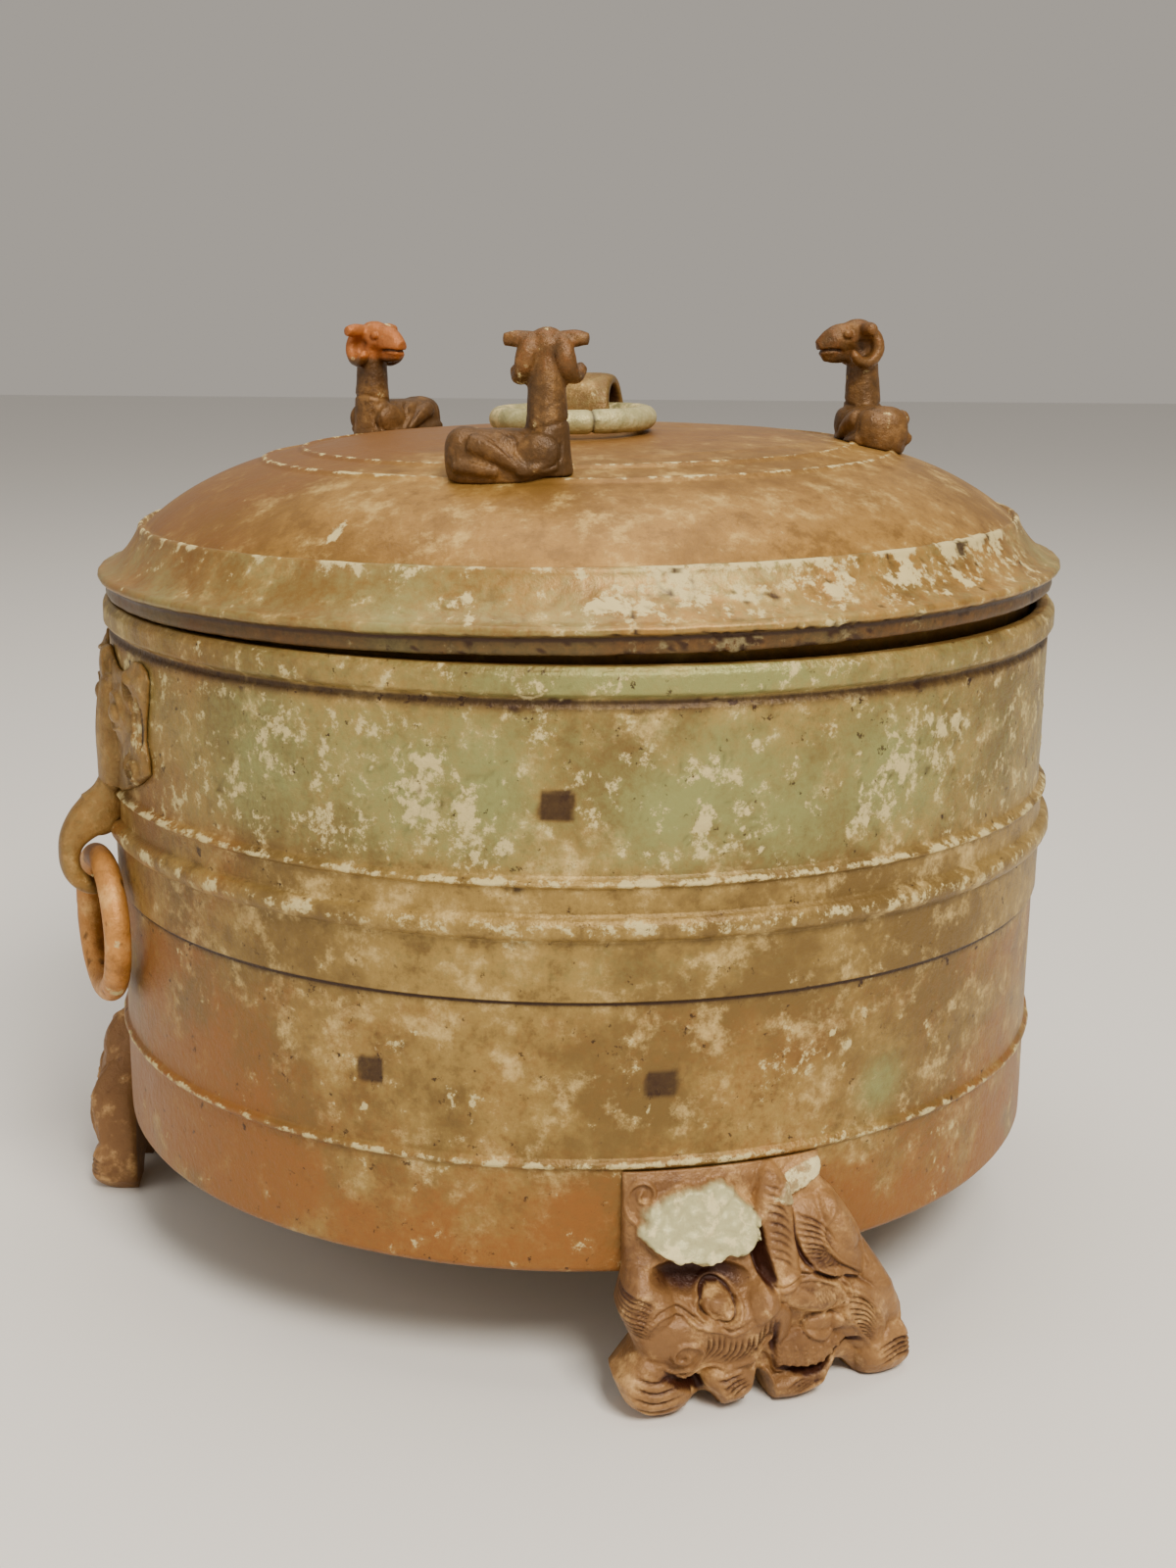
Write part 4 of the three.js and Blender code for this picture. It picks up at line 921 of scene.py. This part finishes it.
def foot_mesh(corroded):
    """Points, faces and marks of one foot at azimuth 0."""
    share_up = np.linspace(0, 1, FOOT_ROWS)[:, None]
    share_across = np.linspace(0, 1, FOOT_COLUMNS)[None, :]
    left = along_edge(FOOT_LEFT_EDGE, FOOT_TOP * share_up)
    right = along_edge(FOOT_RIGHT_EDGE, FOOT_TOP * share_up)
    u = left + share_across * (right - left)
    h = np.broadcast_to(FOOT_TOP * share_up, u.shape)
    flat = np.stack([u, np.zeros_like(u), h], axis=-1)
    depth = along_edge(FOOT_SLAB, h) * SLAB_SHARE + highest(u, h, FACE_FORMS)
    lines = face_lines(u, h)
    crust, bloom, cavity = np.zeros_like(u), np.zeros_like(u), np.zeros_like(u)
    if corroded:
        lump, band, cavity = corrosion(u, h, flat)
        lines = lines * (1 - lump) * (1 - 0.7 * band)
        rough = 0.5 * clouds(flat, 4.5, 303) + 0.3 * lumps(flat, 1.7, 307)
        depth = depth + 2.9 * lump * (1 + 0.45 * rough) + 1.0 * band * (1 + 0.5 * rough) - 4.2 * cavity
        crust = np.maximum(lump * (0.35 + 0.5 * rough), 0.5 * band)
        bloom = np.maximum(lump, 0.5 * band)
    depth = depth + lines + 0.22 * clouds(flat, 6, 304) + 0.06 * lumps(flat, 0.9, 305)
    roll = np.clip(np.minimum(u - left, right - u) / SIDE_ROLL, 0, 1)
    depth = np.maximum(depth, LEAST_DEPTH) * (0.25 + 0.75 * np.sqrt(1 - (1 - roll) ** 2))
    depth = depth * (0.55 + 0.45 * np.clip((FOOT_TOP - h) / TOP_ROLL, 0, 1))
    rolled_sole = np.clip((h + 0.4) / SOLE_ROLL, 0, 1)
    depth = depth * (0.8 + 0.2 * np.sqrt(1 - (1 - rolled_sole) ** 2))
    rise = sole_rise(u) * (1 - share_up) ** 3
    azimuth = u / WALL_RADIUS
    front = around(WALL_RADIUS + SEAT_GAP + depth, azimuth, h + rise - FOOT_DROP)
    back = around(WALL_RADIUS + SEAT_GAP, azimuth, h + rise - FOOT_DROP)
    # Painted shade: darker in the grooves, in the cavity under the pale lump and round the rolled edges; the
    # clouds add real stains.
    dark = np.clip(-lines * 0.75 + cavity + 0.12 * (1 - roll), 0, 1) * (1 - bloom)
    dark = np.clip(dark + 0.25 * ease_between(-clouds(flat, 7, 306), 0.1, 0.5) * (1 - bloom), 0, 1)
    plain_back = np.zeros(u.size)
    marks = {label: np.concatenate([values.ravel(), plain_back])
             for label, values in (("crust", crust), ("bloom", bloom), ("hollow_and_shade", dark))}
    points, faces = closed_shell(front, back)
    return points, faces, marks


# %% Three feet from one drawing
for name, azimuth in FOOT_AZIMUTHS.items():
    points, faces, marks = foot_mesh(corroded=name == "foot_front")
    make_piece(f"{name}_carved", turned(points, azimuth), faces, marks,
               "body", [name], foot_paint)

# %% [markdown]
# ## The masks, their hooks and the loose rings
#
# Each mask is a flat beast face with horns and curled cheeks, cast in one with a nose that runs
# out and curls round into a hook. The plate is carved like the feet. The hook is a strap that
# follows a curve in the plane of the axis, so a rounded section is swept along that curve and
# joined to the plate.

# %% The mask's drawing
HANDLE_AZIMUTHS = {"left": -70, "right": 110}
MASK_BOTTOM, MASK_TOP, MASK_HALF = 86.9, 119.6, 31.0
MASK_PLATE = 1.1
MASK_OUTLINE = [(0, 0.30), (0.06, 0.52), (0.14, 0.76), (0.24, 0.95), (0.34, 0.95), (0.46, 0.9), (0.6, 0.92),
                (0.75, 0.97), (0.9, 1.0), (0.96, 0.97), (1, 0.88)]
MASK_ROWS, MASK_COLUMNS = 84, 150


# Forms, lines and hair of the right half, in the same order of values as the foot's.
MASK_FORMS = [
    ((0, 8), (7.5, 20), 3.6, 0.5), ((14, 19), (8, 7), 1.4), ((22, 10.5), (8, 6.2), 1.0),
    ((23, 26), (9, 5), 1.1, 0.6, 12), ((0, 28), (6, 6), 2.0),
]
MASK_RIDGES = [
    ([(7, 20), (11, 23.6), (16, 23), (19, 18.6)], 1.2, 0.9),
    ([(8, 17.5), (12, 15.4), (17, 16.2)], 1.1, 0.7),
    ([(27.2, 25), (27.4, 19), (26.8, 13)], 1.5, -1.3, 0.12),
    ([(23.6, 25), (23.8, 19), (23.2, 14)], 1.2, 0.8),
    (spiral_points((23.5, 8.4), 3.6, 1.3, 120), 1.2, 1.2, 0.1, False),
    ([(17, 5.5), (20, 2.4), (25, 2.0)], 1.2, 0.8),
    ([(7.5, 6), (10.5, 10), (10, 15)], 1.3, -1.1),
    ([(9, 29.5), (16, 30.4), (24, 28), (28.5, 29.5)], 1.5, 0.9),
    ([(0.0, 24), (0.0, 12)], 1.0, -0.5),
]
MASK_HAIR = [
    ([(17, 28), (23, 27)], [(20, 23.6), (26.6, 23.4)], 5, 0.9, -0.9),
    ([(2, 31), (6, 31)], [(2, 25), (5, 25)], 4, 0.8, -0.6),
]
MASK_EYE, MASK_EYE_HALF = (13.2, 19.4), 3.0
MASK_ROLL, MASK_LEAST_DEPTH = 1.6, 0.7


print("the mask is drawn with", MASK_ROWS, "rows of", MASK_COLUMNS, "points")


def mask_depth(u, h):
    """Carving of the mask: u from its middle line, h above its lower edge. Both halves are alike."""
    side = np.abs(u)
    reach = np.hypot(side - MASK_EYE[0], (h - MASK_EYE[1]) * 1.25)
    eye = 1.3 * np.clip(1 - (reach / MASK_EYE_HALF) ** 2, 0, None) ** 0.5
    return MASK_PLATE + highest(side, h, MASK_FORMS), eye + drawn_lines(side, h, MASK_RIDGES, MASK_HAIR)


def mask_plate():
    """Front and back sheets of a mask at azimuth 0, with its dark share, painted shade with stains, and its
    crusted share.
    """
    share_up = np.linspace(0, 1, MASK_ROWS)[:, None]
    share_across = np.linspace(-1, 1, MASK_COLUMNS)[None, :]
    half = MASK_HALF * along_edge(MASK_OUTLINE, share_up)
    dip = 0.12 * share_up ** 2 * np.clip(1 - ((np.abs(share_across) - 0.45) / 0.4) ** 2, 0, None)
    u = half * share_across
    h = (MASK_TOP - MASK_BOTTOM) * (share_up - dip)
    flat = np.stack([u, np.zeros_like(u), h], axis=-1)
    form, line = mask_depth(u, h)
    edge = np.minimum(half - np.abs(u), np.minimum(h * 2, (MASK_TOP - MASK_BOTTOM) * (1 - share_up)))
    roll = np.clip(edge / MASK_ROLL, 0, 1)
    depth = (form + line + 0.15 * clouds(flat, 6, 401)) * (0.45 + 0.55 * np.sqrt(1 - (1 - roll) ** 2))
    depth = np.maximum(depth, MASK_LEAST_DEPTH)
    azimuth, level = u / WALL_RADIUS, h + MASK_BOTTOM
    front = around(WALL_RADIUS + SEAT_GAP + depth, azimuth, level)
    back = around(WALL_RADIUS + SEAT_GAP, azimuth, level)
    stain = 0.2 * ease_between(-clouds(flat, 6, 402), 0.1, 0.5)
    # Painted shade: darker in the grooves and round the rolled edge; the clouds add real stains.
    dark = np.clip(-line * 0.6 + 0.35 * (1 - roll) + stain, 0, 1)
    return front, back, dark, 0.35 * ease_between(clouds(flat, 9, 403), 0.0, 0.4)


# %% The hook and a swept strap
RING_TUBE, RING_OUTER = 3.1, 19.1
RING_OFF_COLLAR, RING_UNDER_BAND = 1.7, 1.5
BAND_HALF = 2.6
HOOK_RADIUS = WALL_RADIUS + COLLAR_PROUD + RING_OFF_COLLAR + RING_TUBE
HOOK_HEIGHT = ROUND_BAND_HEIGHT - BAND_HALF - RING_TUBE - RING_UNDER_BAND


def swept(path, across, along_width, section_points=18, squareness=0.75):
    """A rounded strap along a path in the plane of the axis: radii, heights, thickness, width."""
    turn = np.linspace(0, 2 * np.pi, section_points, endpoint=False)
    side = np.sign(np.cos(turn)) * np.abs(np.cos(turn)) ** squareness
    thick = np.sign(np.sin(turn)) * np.abs(np.sin(turn)) ** squareness
    run = np.gradient(path, axis=0)
    run = run / np.linalg.norm(run, axis=1, keepdims=True)
    normal = np.stack([-run[:, 1], run[:, 0]], axis=1)
    rings = []
    for (radius, height), n, thickness, width in zip(path, normal, across, along_width):
        r = radius + n[0] * thick * thickness / 2
        z = height + n[1] * thick * thickness / 2
        rings.append(np.stack([side * width / 2, -r, z], axis=-1))
    return np.stack(rings)


def hook_strap():
    """From the nose on the mask, out and down round the ring, and back up to a blunt tip."""
    stops = [(-4.0, 20.0, 5.4, 8.6), (-3.0, 15.4, 8.8, 8.8), (-0.6, 11.4, 11.4, 8.8), (3.0, 8.9, 8.8, 8.5),
             (5.9, 5.3, 6.4, 8.0), (7.0, 1.4, 4.8, 7.6), (6.7, -2.2, 4.5, 7.4), (5.0, -5.0, 4.2, 7.0),
             (2.4, -6.7, 3.7, 6.4), (0.2, -6.8, 3.0, 5.6), (-1.2, -6.4, 2.2, 4.6)]
    smooth = [curve_through([(k, stop[i]) for k, stop in enumerate(stops)], 60)[:, 1] for i in range(4)]
    path = np.stack([HOOK_RADIUS + smooth[0], HOOK_HEIGHT + smooth[1]], axis=1)
    return swept(path, smooth[2], smooth[3])


print("each hook curls round a point", round(HOOK_RADIUS, 1), "mm out and", round(HOOK_HEIGHT, 1), "mm up")


def capped(rings, start):
    """Faces of a swept strap with both ends closed."""
    count, sides = rings.shape[:2]
    faces = sheet_faces(count, sides, True, start=start)
    faces.append(tuple(reversed(range(start, start + sides))))
    faces.append(tuple(range(start + (count - 1) * sides, start + count * sides)))
    return faces


# %% Two masks
def mask_piece(side):
    """A mask with its hook, made at azimuth 0 and turned to its side."""
    front, back, dark, crust = mask_plate()
    points, faces = closed_shell(front, back)
    rings = hook_strap()
    rings = rings + 0.12 * lumps(rings, 5, 411)[..., None]
    faces = faces + capped(rings, len(points))
    points = np.concatenate([points, rings.reshape(-1, 3)])
    rest = np.zeros(len(points) - dark.size)
    marks = {"hollow_and_shade": np.concatenate([dark.ravel(), rest]), "crust": np.concatenate([crust.ravel(), rest]),
             "bloom": np.full(len(points), 0.35), "earth_and_shade": np.full(len(points), 0.3)}
    make_piece(f"mask_{side}_carved", turned(points, HANDLE_AZIMUTHS[side]), faces, marks,
               "body", [f"mask_{side}"], mask_paint)


for side in HANDLE_AZIMUTHS:
    mask_piece(side)

# %% [markdown]
# The handle rings are cast rods bent to a circle. Centuries of hanging have worn the tube thin
# where it rubs the hook, so the tube's radius changes a little round the ring.

# %% Loose rings
RING_TURN_DEG = 5.0


def torus_points(ring_radius, tube_radius, around_ring=150, around_tube=30, wear=0.1, seed=501):
    """A ring in the plane of u and z, its tube thinner at the top where it has rubbed."""
    big = np.linspace(0, 2 * np.pi, around_ring, endpoint=False)[:, None]
    small = np.linspace(0, 2 * np.pi, around_tube, endpoint=False)[None, :]
    top = np.exp(-((((big - np.pi / 2 + np.pi) % (2 * np.pi)) - np.pi) / 0.35) ** 2)
    tube = tube_radius * (1 - wear * top) * np.ones_like(small)
    direction = np.stack([np.cos(big) * np.cos(small), np.sin(small) * np.ones_like(big),
                          np.sin(big) * np.cos(small)], axis=-1)
    centre = np.stack([ring_radius * np.cos(big), 0 * big, ring_radius * np.sin(big)], axis=-1)
    surface = centre + direction * tube[..., None]
    rough = 0.08 * clouds(surface, 6, seed) - 0.1 * ease_between(lumps(surface, 2.4, seed + 5), 0.55, 0.8)
    return surface + direction * rough[..., None]


def handle_ring(side):
    """A ring that hangs from its hook, turned a few degrees about the vertical."""
    ring_radius = RING_OUTER - RING_TUBE
    points = torus_points(ring_radius, RING_TUBE, seed=501 if side == "left" else 521)
    rows, columns = points.shape[:2]
    flat = points.reshape(-1, 3)
    dark = ease_between(lumps(flat, 2.4, 506), 0.5, 0.8) * 0.6
    crust = 0.5 * ease_between(clouds(flat, 7, 507), 0.15, 0.45)
    hung = turned(flat, RING_TURN_DEG) + np.array([0, -HOOK_RADIUS, HOOK_HEIGHT - ring_radius])
    marks = {"hollow_and_shade": dark, "crust": crust, "bloom": np.zeros_like(dark)}
    make_piece(f"loose_ring_{side}", turned(hung, HANDLE_AZIMUTHS[side]),
               sheet_faces(rows, columns, True, True), marks,
               f"{side}_ring", [f"handle_ring_{side}"], worn_ring_paint)


for side in HANDLE_AZIMUTHS:
    handle_ring(side)

# %% [markdown]
# ## The rams, the loop and the ring on the lid
#
# The rams are sculpture rather than turning. A modeller would press pellets of wax together and
# smooth the joins, and we do the same: simple rounded shapes overlap, a voxel remesh melts them
# into one skin, and a little smoothing rounds the seams. Lines are carved in afterwards.

# %% Wax pellets and the melt
def blob(middle, half, box=1.0, rows=15, columns=22):
    """An ellipsoid; box below 1 makes it squarer, like a loaf."""
    up = np.linspace(-np.pi / 2, np.pi / 2, rows)[:, None]
    round_it = np.linspace(0, 2 * np.pi, columns, endpoint=False)[None, :]

    def squared(value):
        return np.sign(value) * np.abs(value) ** box

    unit = np.stack([squared(np.cos(up)) * squared(np.cos(round_it)),
                     squared(np.cos(up)) * squared(np.sin(round_it)),
                     squared(np.sin(up)) * np.ones_like(round_it)], axis=-1)
    points = np.array(middle) + unit * np.array(half)
    return points.reshape(-1, 3), sheet_faces(rows, columns, True)


def limb(stops, columns=14, wide=1.0):
    """A tapering roll of wax through stops, each with a place and a radius; wide widens it in x."""
    places = [curve_through([(k, stop[i]) for k, stop in enumerate(stops)], 26)[:, 1] for i in range(4)]
    path, radii = np.stack(places[:3], axis=1), places[3]
    run = np.gradient(path, axis=0)
    run = run / np.linalg.norm(run, axis=1, keepdims=True)
    helper = np.where(np.abs(run[:, :1]) < 0.8, np.array([[1.0, 0, 0]]), np.array([[0, 0, 1.0]]))
    side = np.cross(run, helper)
    side = side / np.linalg.norm(side, axis=1, keepdims=True)
    other = np.cross(run, side)
    turn = np.linspace(0, 2 * np.pi, columns, endpoint=False)[None, :, None]
    ends = np.concatenate([[0.05], np.ones(len(path) - 2), [0.05]])[:, None, None] * radii[:, None, None]
    offset = (side[:, None] * np.cos(turn) + other[:, None] * np.sin(turn)) * ends
    points = path[:, None] + offset * np.array([wide, 1, 1])
    return points.reshape(-1, 3), sheet_faces(len(path), columns, True)


def melted(pellets, voxel, smoothing):
    """One closed skin round overlapping pellets: its points, their outward directions and faces."""
    points, faces = [], []
    for pellet_points, pellet_faces in pellets:
        start = sum(len(block) for block in points)
        points.append(pellet_points)
        faces += [tuple(i + start for i in face) for face in pellet_faces]
    mesh = bpy.data.meshes.new("wax")
    mesh.from_pydata(np.concatenate(points).tolist(), [], faces)
    wax = bpy.data.objects.new("wax", mesh)
    bpy.context.scene.collection.objects.link(wax)
    melt = wax.modifiers.new("melt", "REMESH")
    melt.mode = "VOXEL"
    melt.voxel_size = voxel
    soften = wax.modifiers.new("soften", "SMOOTH")
    soften.factor = 0.5
    soften.iterations = smoothing
    cast = wax.evaluated_get(bpy.context.evaluated_depsgraph_get()).to_mesh()
    skin = np.array([v.co[:] for v in cast.vertices])
    facing = np.array([v.normal[:] for v in cast.vertices])
    sides = [tuple(face.vertices) for face in cast.polygons]
    bpy.data.objects.remove(wax)
    bpy.data.meshes.remove(mesh)
    print(len(pellets), "pellets melted into a skin of", len(skin), "points")
    return skin, facing, sides


# %% A ram from pellets
# Each pellet is in the ram's own frame: x to its head end, y to the lid's middle, z up.
inner_thread, outer_thread = LID_THREADS[1][0], LID_THREADS[2][0]
RAM_CIRCLE = (inner_thread + outer_thread) / 2
RAM_LIFT = 0.85
RAM_SEAT = (dome_height(inner_thread) + dome_height(outer_thread)) / 2 + RAM_LIFT
RAM_VOXEL, RAM_SMOOTHING = 0.42, 3
RAM_AZIMUTHS = {"front": -5, "right": 98, "left": -130}


def ram_pellets():
    """Body, rump, neck, head, muzzle and jaw, then horn, ear, eye, shoulder and legs on each side."""
    pellets = [
        blob((-10.2, 0, 2.2), (11.6, 6.8, 6.5), 0.62),
        blob((-17.2, 0, 3.4), (4.6, 6.5, 5.7), 0.75),
        limb([(0, 0, -2, 5.6), (0, 0, 4, 5.0), (0, 0, 12, 4.4), (0, 0.3, 19, 4.0), (0, 1.0, 25, 3.6)]),
        blob((0, 1.8, 25.3), (4.3, 5.0, 4.2)),
        limb([(0, 3.0, 25.6, 3.4), (0, 6.5, 24.4, 3.8), (0, 9.6, 23.0, 3.1), (0, 11.9, 22.1, 2.0)],
             wide=0.86),
        limb([(0, 2.0, 21.6, 2.6), (0, 7.0, 20.9, 2.2), (0, 10.8, 20.5, 1.3)], wide=0.85),
    ]
    for side in (-1, 1):
        curl = [(side * (2.6 + 4.4 * s), 1.2 + 3.5 * math.cos(a), 22.9 + 3.8 * math.sin(a), 2.1 - 0.8 * s)
                for s, a in ((k / 7, math.radians(78 + 39 * k)) for k in range(8))]
        pellets += [
            limb(curl, wide=1.25),
            limb([(side * 3.2, 0.6, 27.0, 1.7), (side * 6.2, 0.4, 27.0, 1.9), (side * 9.2, 0.2, 26.9, 1.3)]),
            blob((side * 3.1, 5.0, 25.9), (1.2, 1.5, 1.2), rows=9, columns=12),
            blob((-1.6, side * 5.0, 4.0), (4.9, 2.4, 4.1)),
            limb([(-16.4, side * 5.2, 6.2, 2.2), (-11.4, side * 6.0, 4.6, 2.3), (-6.4, side * 6.2, 1.8, 1.9),
                  (-2.6, side * 6.0, -0.6, 1.3)]),
            limb([(-19.6, side * 5.4, 1.6, 1.8), (-14, side * 6.4, 0.7, 1.5), (-9.5, side * 6.6, 0.0, 1.1)]),
            limb([(2.4, side * 4.2, 1.6, 1.7), (-2.4, side * 6.4, 0.6, 1.4), (-6.0, side * 6.8, 0.0, 0.9)]),
        ]
    return pellets


def ram_lines(points, facing):
    """Depth of the lines that were cut in after the wax had set."""
    x, y, z = points[:, 0], points[:, 1], points[:, 2]
    flank = ease_between(np.abs(facing[:, 1]), 0.2, 0.6) * (z < 11)
    cut = flank * (ridge(x, z, [(-12.6, 7.6), (-9.0, 5.4), (-5.0, 1.2)], 1.0, 1.0)
                   + ridge(x, z, [(-9.6, 8.4), (-6.4, 7.0), (-5.8, 3.4)], 0.9, 0.9)
                   + ridge(x, z, [(-18.6, 6.5), (-19.0, 4.0), (-18.6, 1.5)], 0.9, 0.4)
                   + ridge(x, z, [(3.4, 6.6), (2.6, 1.8), (-1.0, 0.4)], 0.8, 0.8))
    collar = np.exp(-((z - 9.2 - 0.25 * x) / 0.4) ** 2) * (np.hypot(x, y) < 6.4)
    mouth = ridge(y, z, [(6.2, 21.7), (9.2, 21.9), (13.0, 21.4)], 0.95, 1.0, 0.05) * (np.abs(x) < 4)
    nostril = sum(np.exp(-((x - side * 1.1) ** 2 + (y - 13.2) ** 2 + (z - 22.7) ** 2) / 0.5)
                  for side in (-1, 1))
    eye = sum(np.exp(-((np.sqrt((x - side * 3.9) ** 2 + (y - 5.0) ** 2 + (z - 25.9) ** 2) - 1.5) / 0.3) ** 2)
              for side in (-1, 1))
    horn_hole = sum(np.exp(-((y - 1.3) ** 2 + (z - 22.9) ** 2) / 3.4) * ease_between(side * x, 3.0, 4.4)
                    for side in (-1, 1))
    return 0.6 * cut, 0.4 * collar, 0.8 * mouth + 0.6 * nostril + 0.35 * eye, horn_hole


def make_ram(side, azimuth):
    """Melts, carves and seats one ram; the left one has an orange head."""
    skin, facing, sides = melted(ram_pellets(), RAM_VOXEL, RAM_SMOOTHING)
    cut, collar, face, horn_hole = ram_lines(skin, facing)
    rough = 0.16 * clouds(skin, 4.5, 601) + 0.05 * lumps(skin, 1.3, 602)
    depth = cut + collar + face + 0.9 * horn_hole
    skin = skin + facing * (rough - depth)[:, None]
    seat = dome_height(np.hypot(RAM_CIRCLE - skin[:, 1], skin[:, 0])) - RAM_SEAT + 0.1
    skin[:, 2] = np.maximum(skin[:, 2], seat)
    # Painted shade: darker in the cut lines, collar, mouth, nostrils, eyes and horn holes, and where the ram
    # meets the lid.
    dark = np.clip(cut + 0.8 * collar + 1.1 * face + horn_hole
                   + 0.6 * (1 - ease_between(skin[:, 2] - seat, 0, 0.9)), 0, 1)
    head = ease_between(skin[:, 2], 18.5, 21)
    earth_and_shade = head * 0.95 if side == "left" else 0.25 * head
    dark = np.maximum(dark, 0.45 * (1 - head) * ease_between(skin[:, 2], 8, 14)) if side == "left" else dark
    marks = {"hollow_and_shade": dark, "earth_and_shade": earth_and_shade, "crust": 0.3 * ease_between(clouds(skin, 5, 603), 0.1, 0.4),
             "bloom": np.zeros_like(dark)}
    placed = on_lid(turned(skin + np.array([0, -RAM_CIRCLE, RAM_SEAT]), azimuth))
    make_piece(f"ram_{side}_figure", placed, sides, marks, "body",
               [f"ram_{side}"], figure_paint)


for side, azimuth in RAM_AZIMUTHS.items():
    make_ram(side, azimuth)

# %% [markdown]
# The loop is a thick strap bent into an arch, wider at its feet where it was soldered to the
# lid. The ring lies on the lid and passes under it; two dark joints show where its halves were
# hammered together.

# %% The loop
LOOP_PLACE, LOOP_TURN_DEG = np.array([3.0, 0, LID_HEIGHT + SEAT_GAP]), -14.0
LOOP_MIDDLE_RADIUS, LOOP_LEG = 7.9, 3.1
LOOP_THICKNESS, LOOP_WIDTH = 3.3, 12.4


def beside_loop(points):
    """From the loop's own frame to the drum's."""
    return on_lid(turned(points, LOOP_TURN_DEG) + LOOP_PLACE)


arch = [(LOOP_MIDDLE_RADIUS * math.cos(a), LOOP_LEG + LOOP_MIDDLE_RADIUS * math.sin(a))
        for a in np.radians(np.linspace(0, 180, 37))]
legs = [(LOOP_MIDDLE_RADIUS, h) for h in (-0.2, 1.0, 2.0)]
arch_path = np.array(legs + arch + [(-r, h) for r, h in reversed(legs)])
arch_share = np.abs(np.linspace(-1, 1, len(arch_path)))
thickness, width = LOOP_THICKNESS + 0.5 * arch_share ** 4, LOOP_WIDTH + 1.6 * arch_share ** 3
strap = swept(arch_path, thickness, width, 30, 0.62)
strap = strap + 0.1 * clouds(strap, 5, 611)[..., None]
# Painted shade: darker on the inside of the arch.
inward = ease_between(LOOP_MIDDLE_RADIUS - np.hypot(strap[..., 1], strap[..., 2] - LOOP_LEG), 0.4, 1.5)
loop_marks = {"hollow_and_shade": 0.9 * inward, "crust": 0.3 * ease_between(clouds(strap, 5, 612), 0, 0.4),
              "bloom": np.full_like(inward, 0.35), "earth_and_shade": np.full_like(inward, 0.1)}
make_piece("strap_loop", beside_loop(strap.reshape(-1, 3)), capped(strap, 0), loop_marks,
           "body", ["lid_loop"], mask_paint)

# %% The pale ring
LID_RING_TUBE, LID_RING_MEAN = 2.8, 17.1
JOINT_DEGREES = (-62, 118)
flat_ring = torus_points(LID_RING_MEAN, LID_RING_TUBE, 170, 30, wear=0.06, seed=621)
rows, columns = flat_ring.shape[:2]
ring_angle = np.degrees(np.linspace(0, 2 * np.pi, rows, endpoint=False))[:, None]
joint = sum(np.exp(-(((ring_angle - where + 180) % 360 - 180) / 1.3) ** 2) for where in JOINT_DEGREES)
spine = LID_RING_MEAN * np.stack([np.cos(np.radians(ring_angle)), 0 * ring_angle,
                                  np.sin(np.radians(ring_angle))], axis=-1)
flat_ring = spine + (flat_ring - spine) * (1 - 0.2 * joint)[..., None]
lying = flat_ring.reshape(-1, 3)[:, [0, 2, 1]] * np.array([1, 1, -1])
lying = lying + np.array([0, -LID_RING_MEAN, LID_RING_TUBE])
ring_pits = ease_between(lumps(flat_ring, 2.6, 622), 0.5, 0.8)
ring_marks = {"hollow_and_shade": np.clip(0.9 * joint + 0.4 * ring_pits, 0, 1),
              "crust": 0.6 * ease_between(clouds(flat_ring, 8, 623), -0.1, 0.3),
              "bloom": np.full((rows, columns), 0.5)}
make_piece("pale_lid_ring", beside_loop(lying), sheet_faces(rows, columns, True, True), ring_marks,
           "lid_ring", ["lid_ring"], pale_ring_paint)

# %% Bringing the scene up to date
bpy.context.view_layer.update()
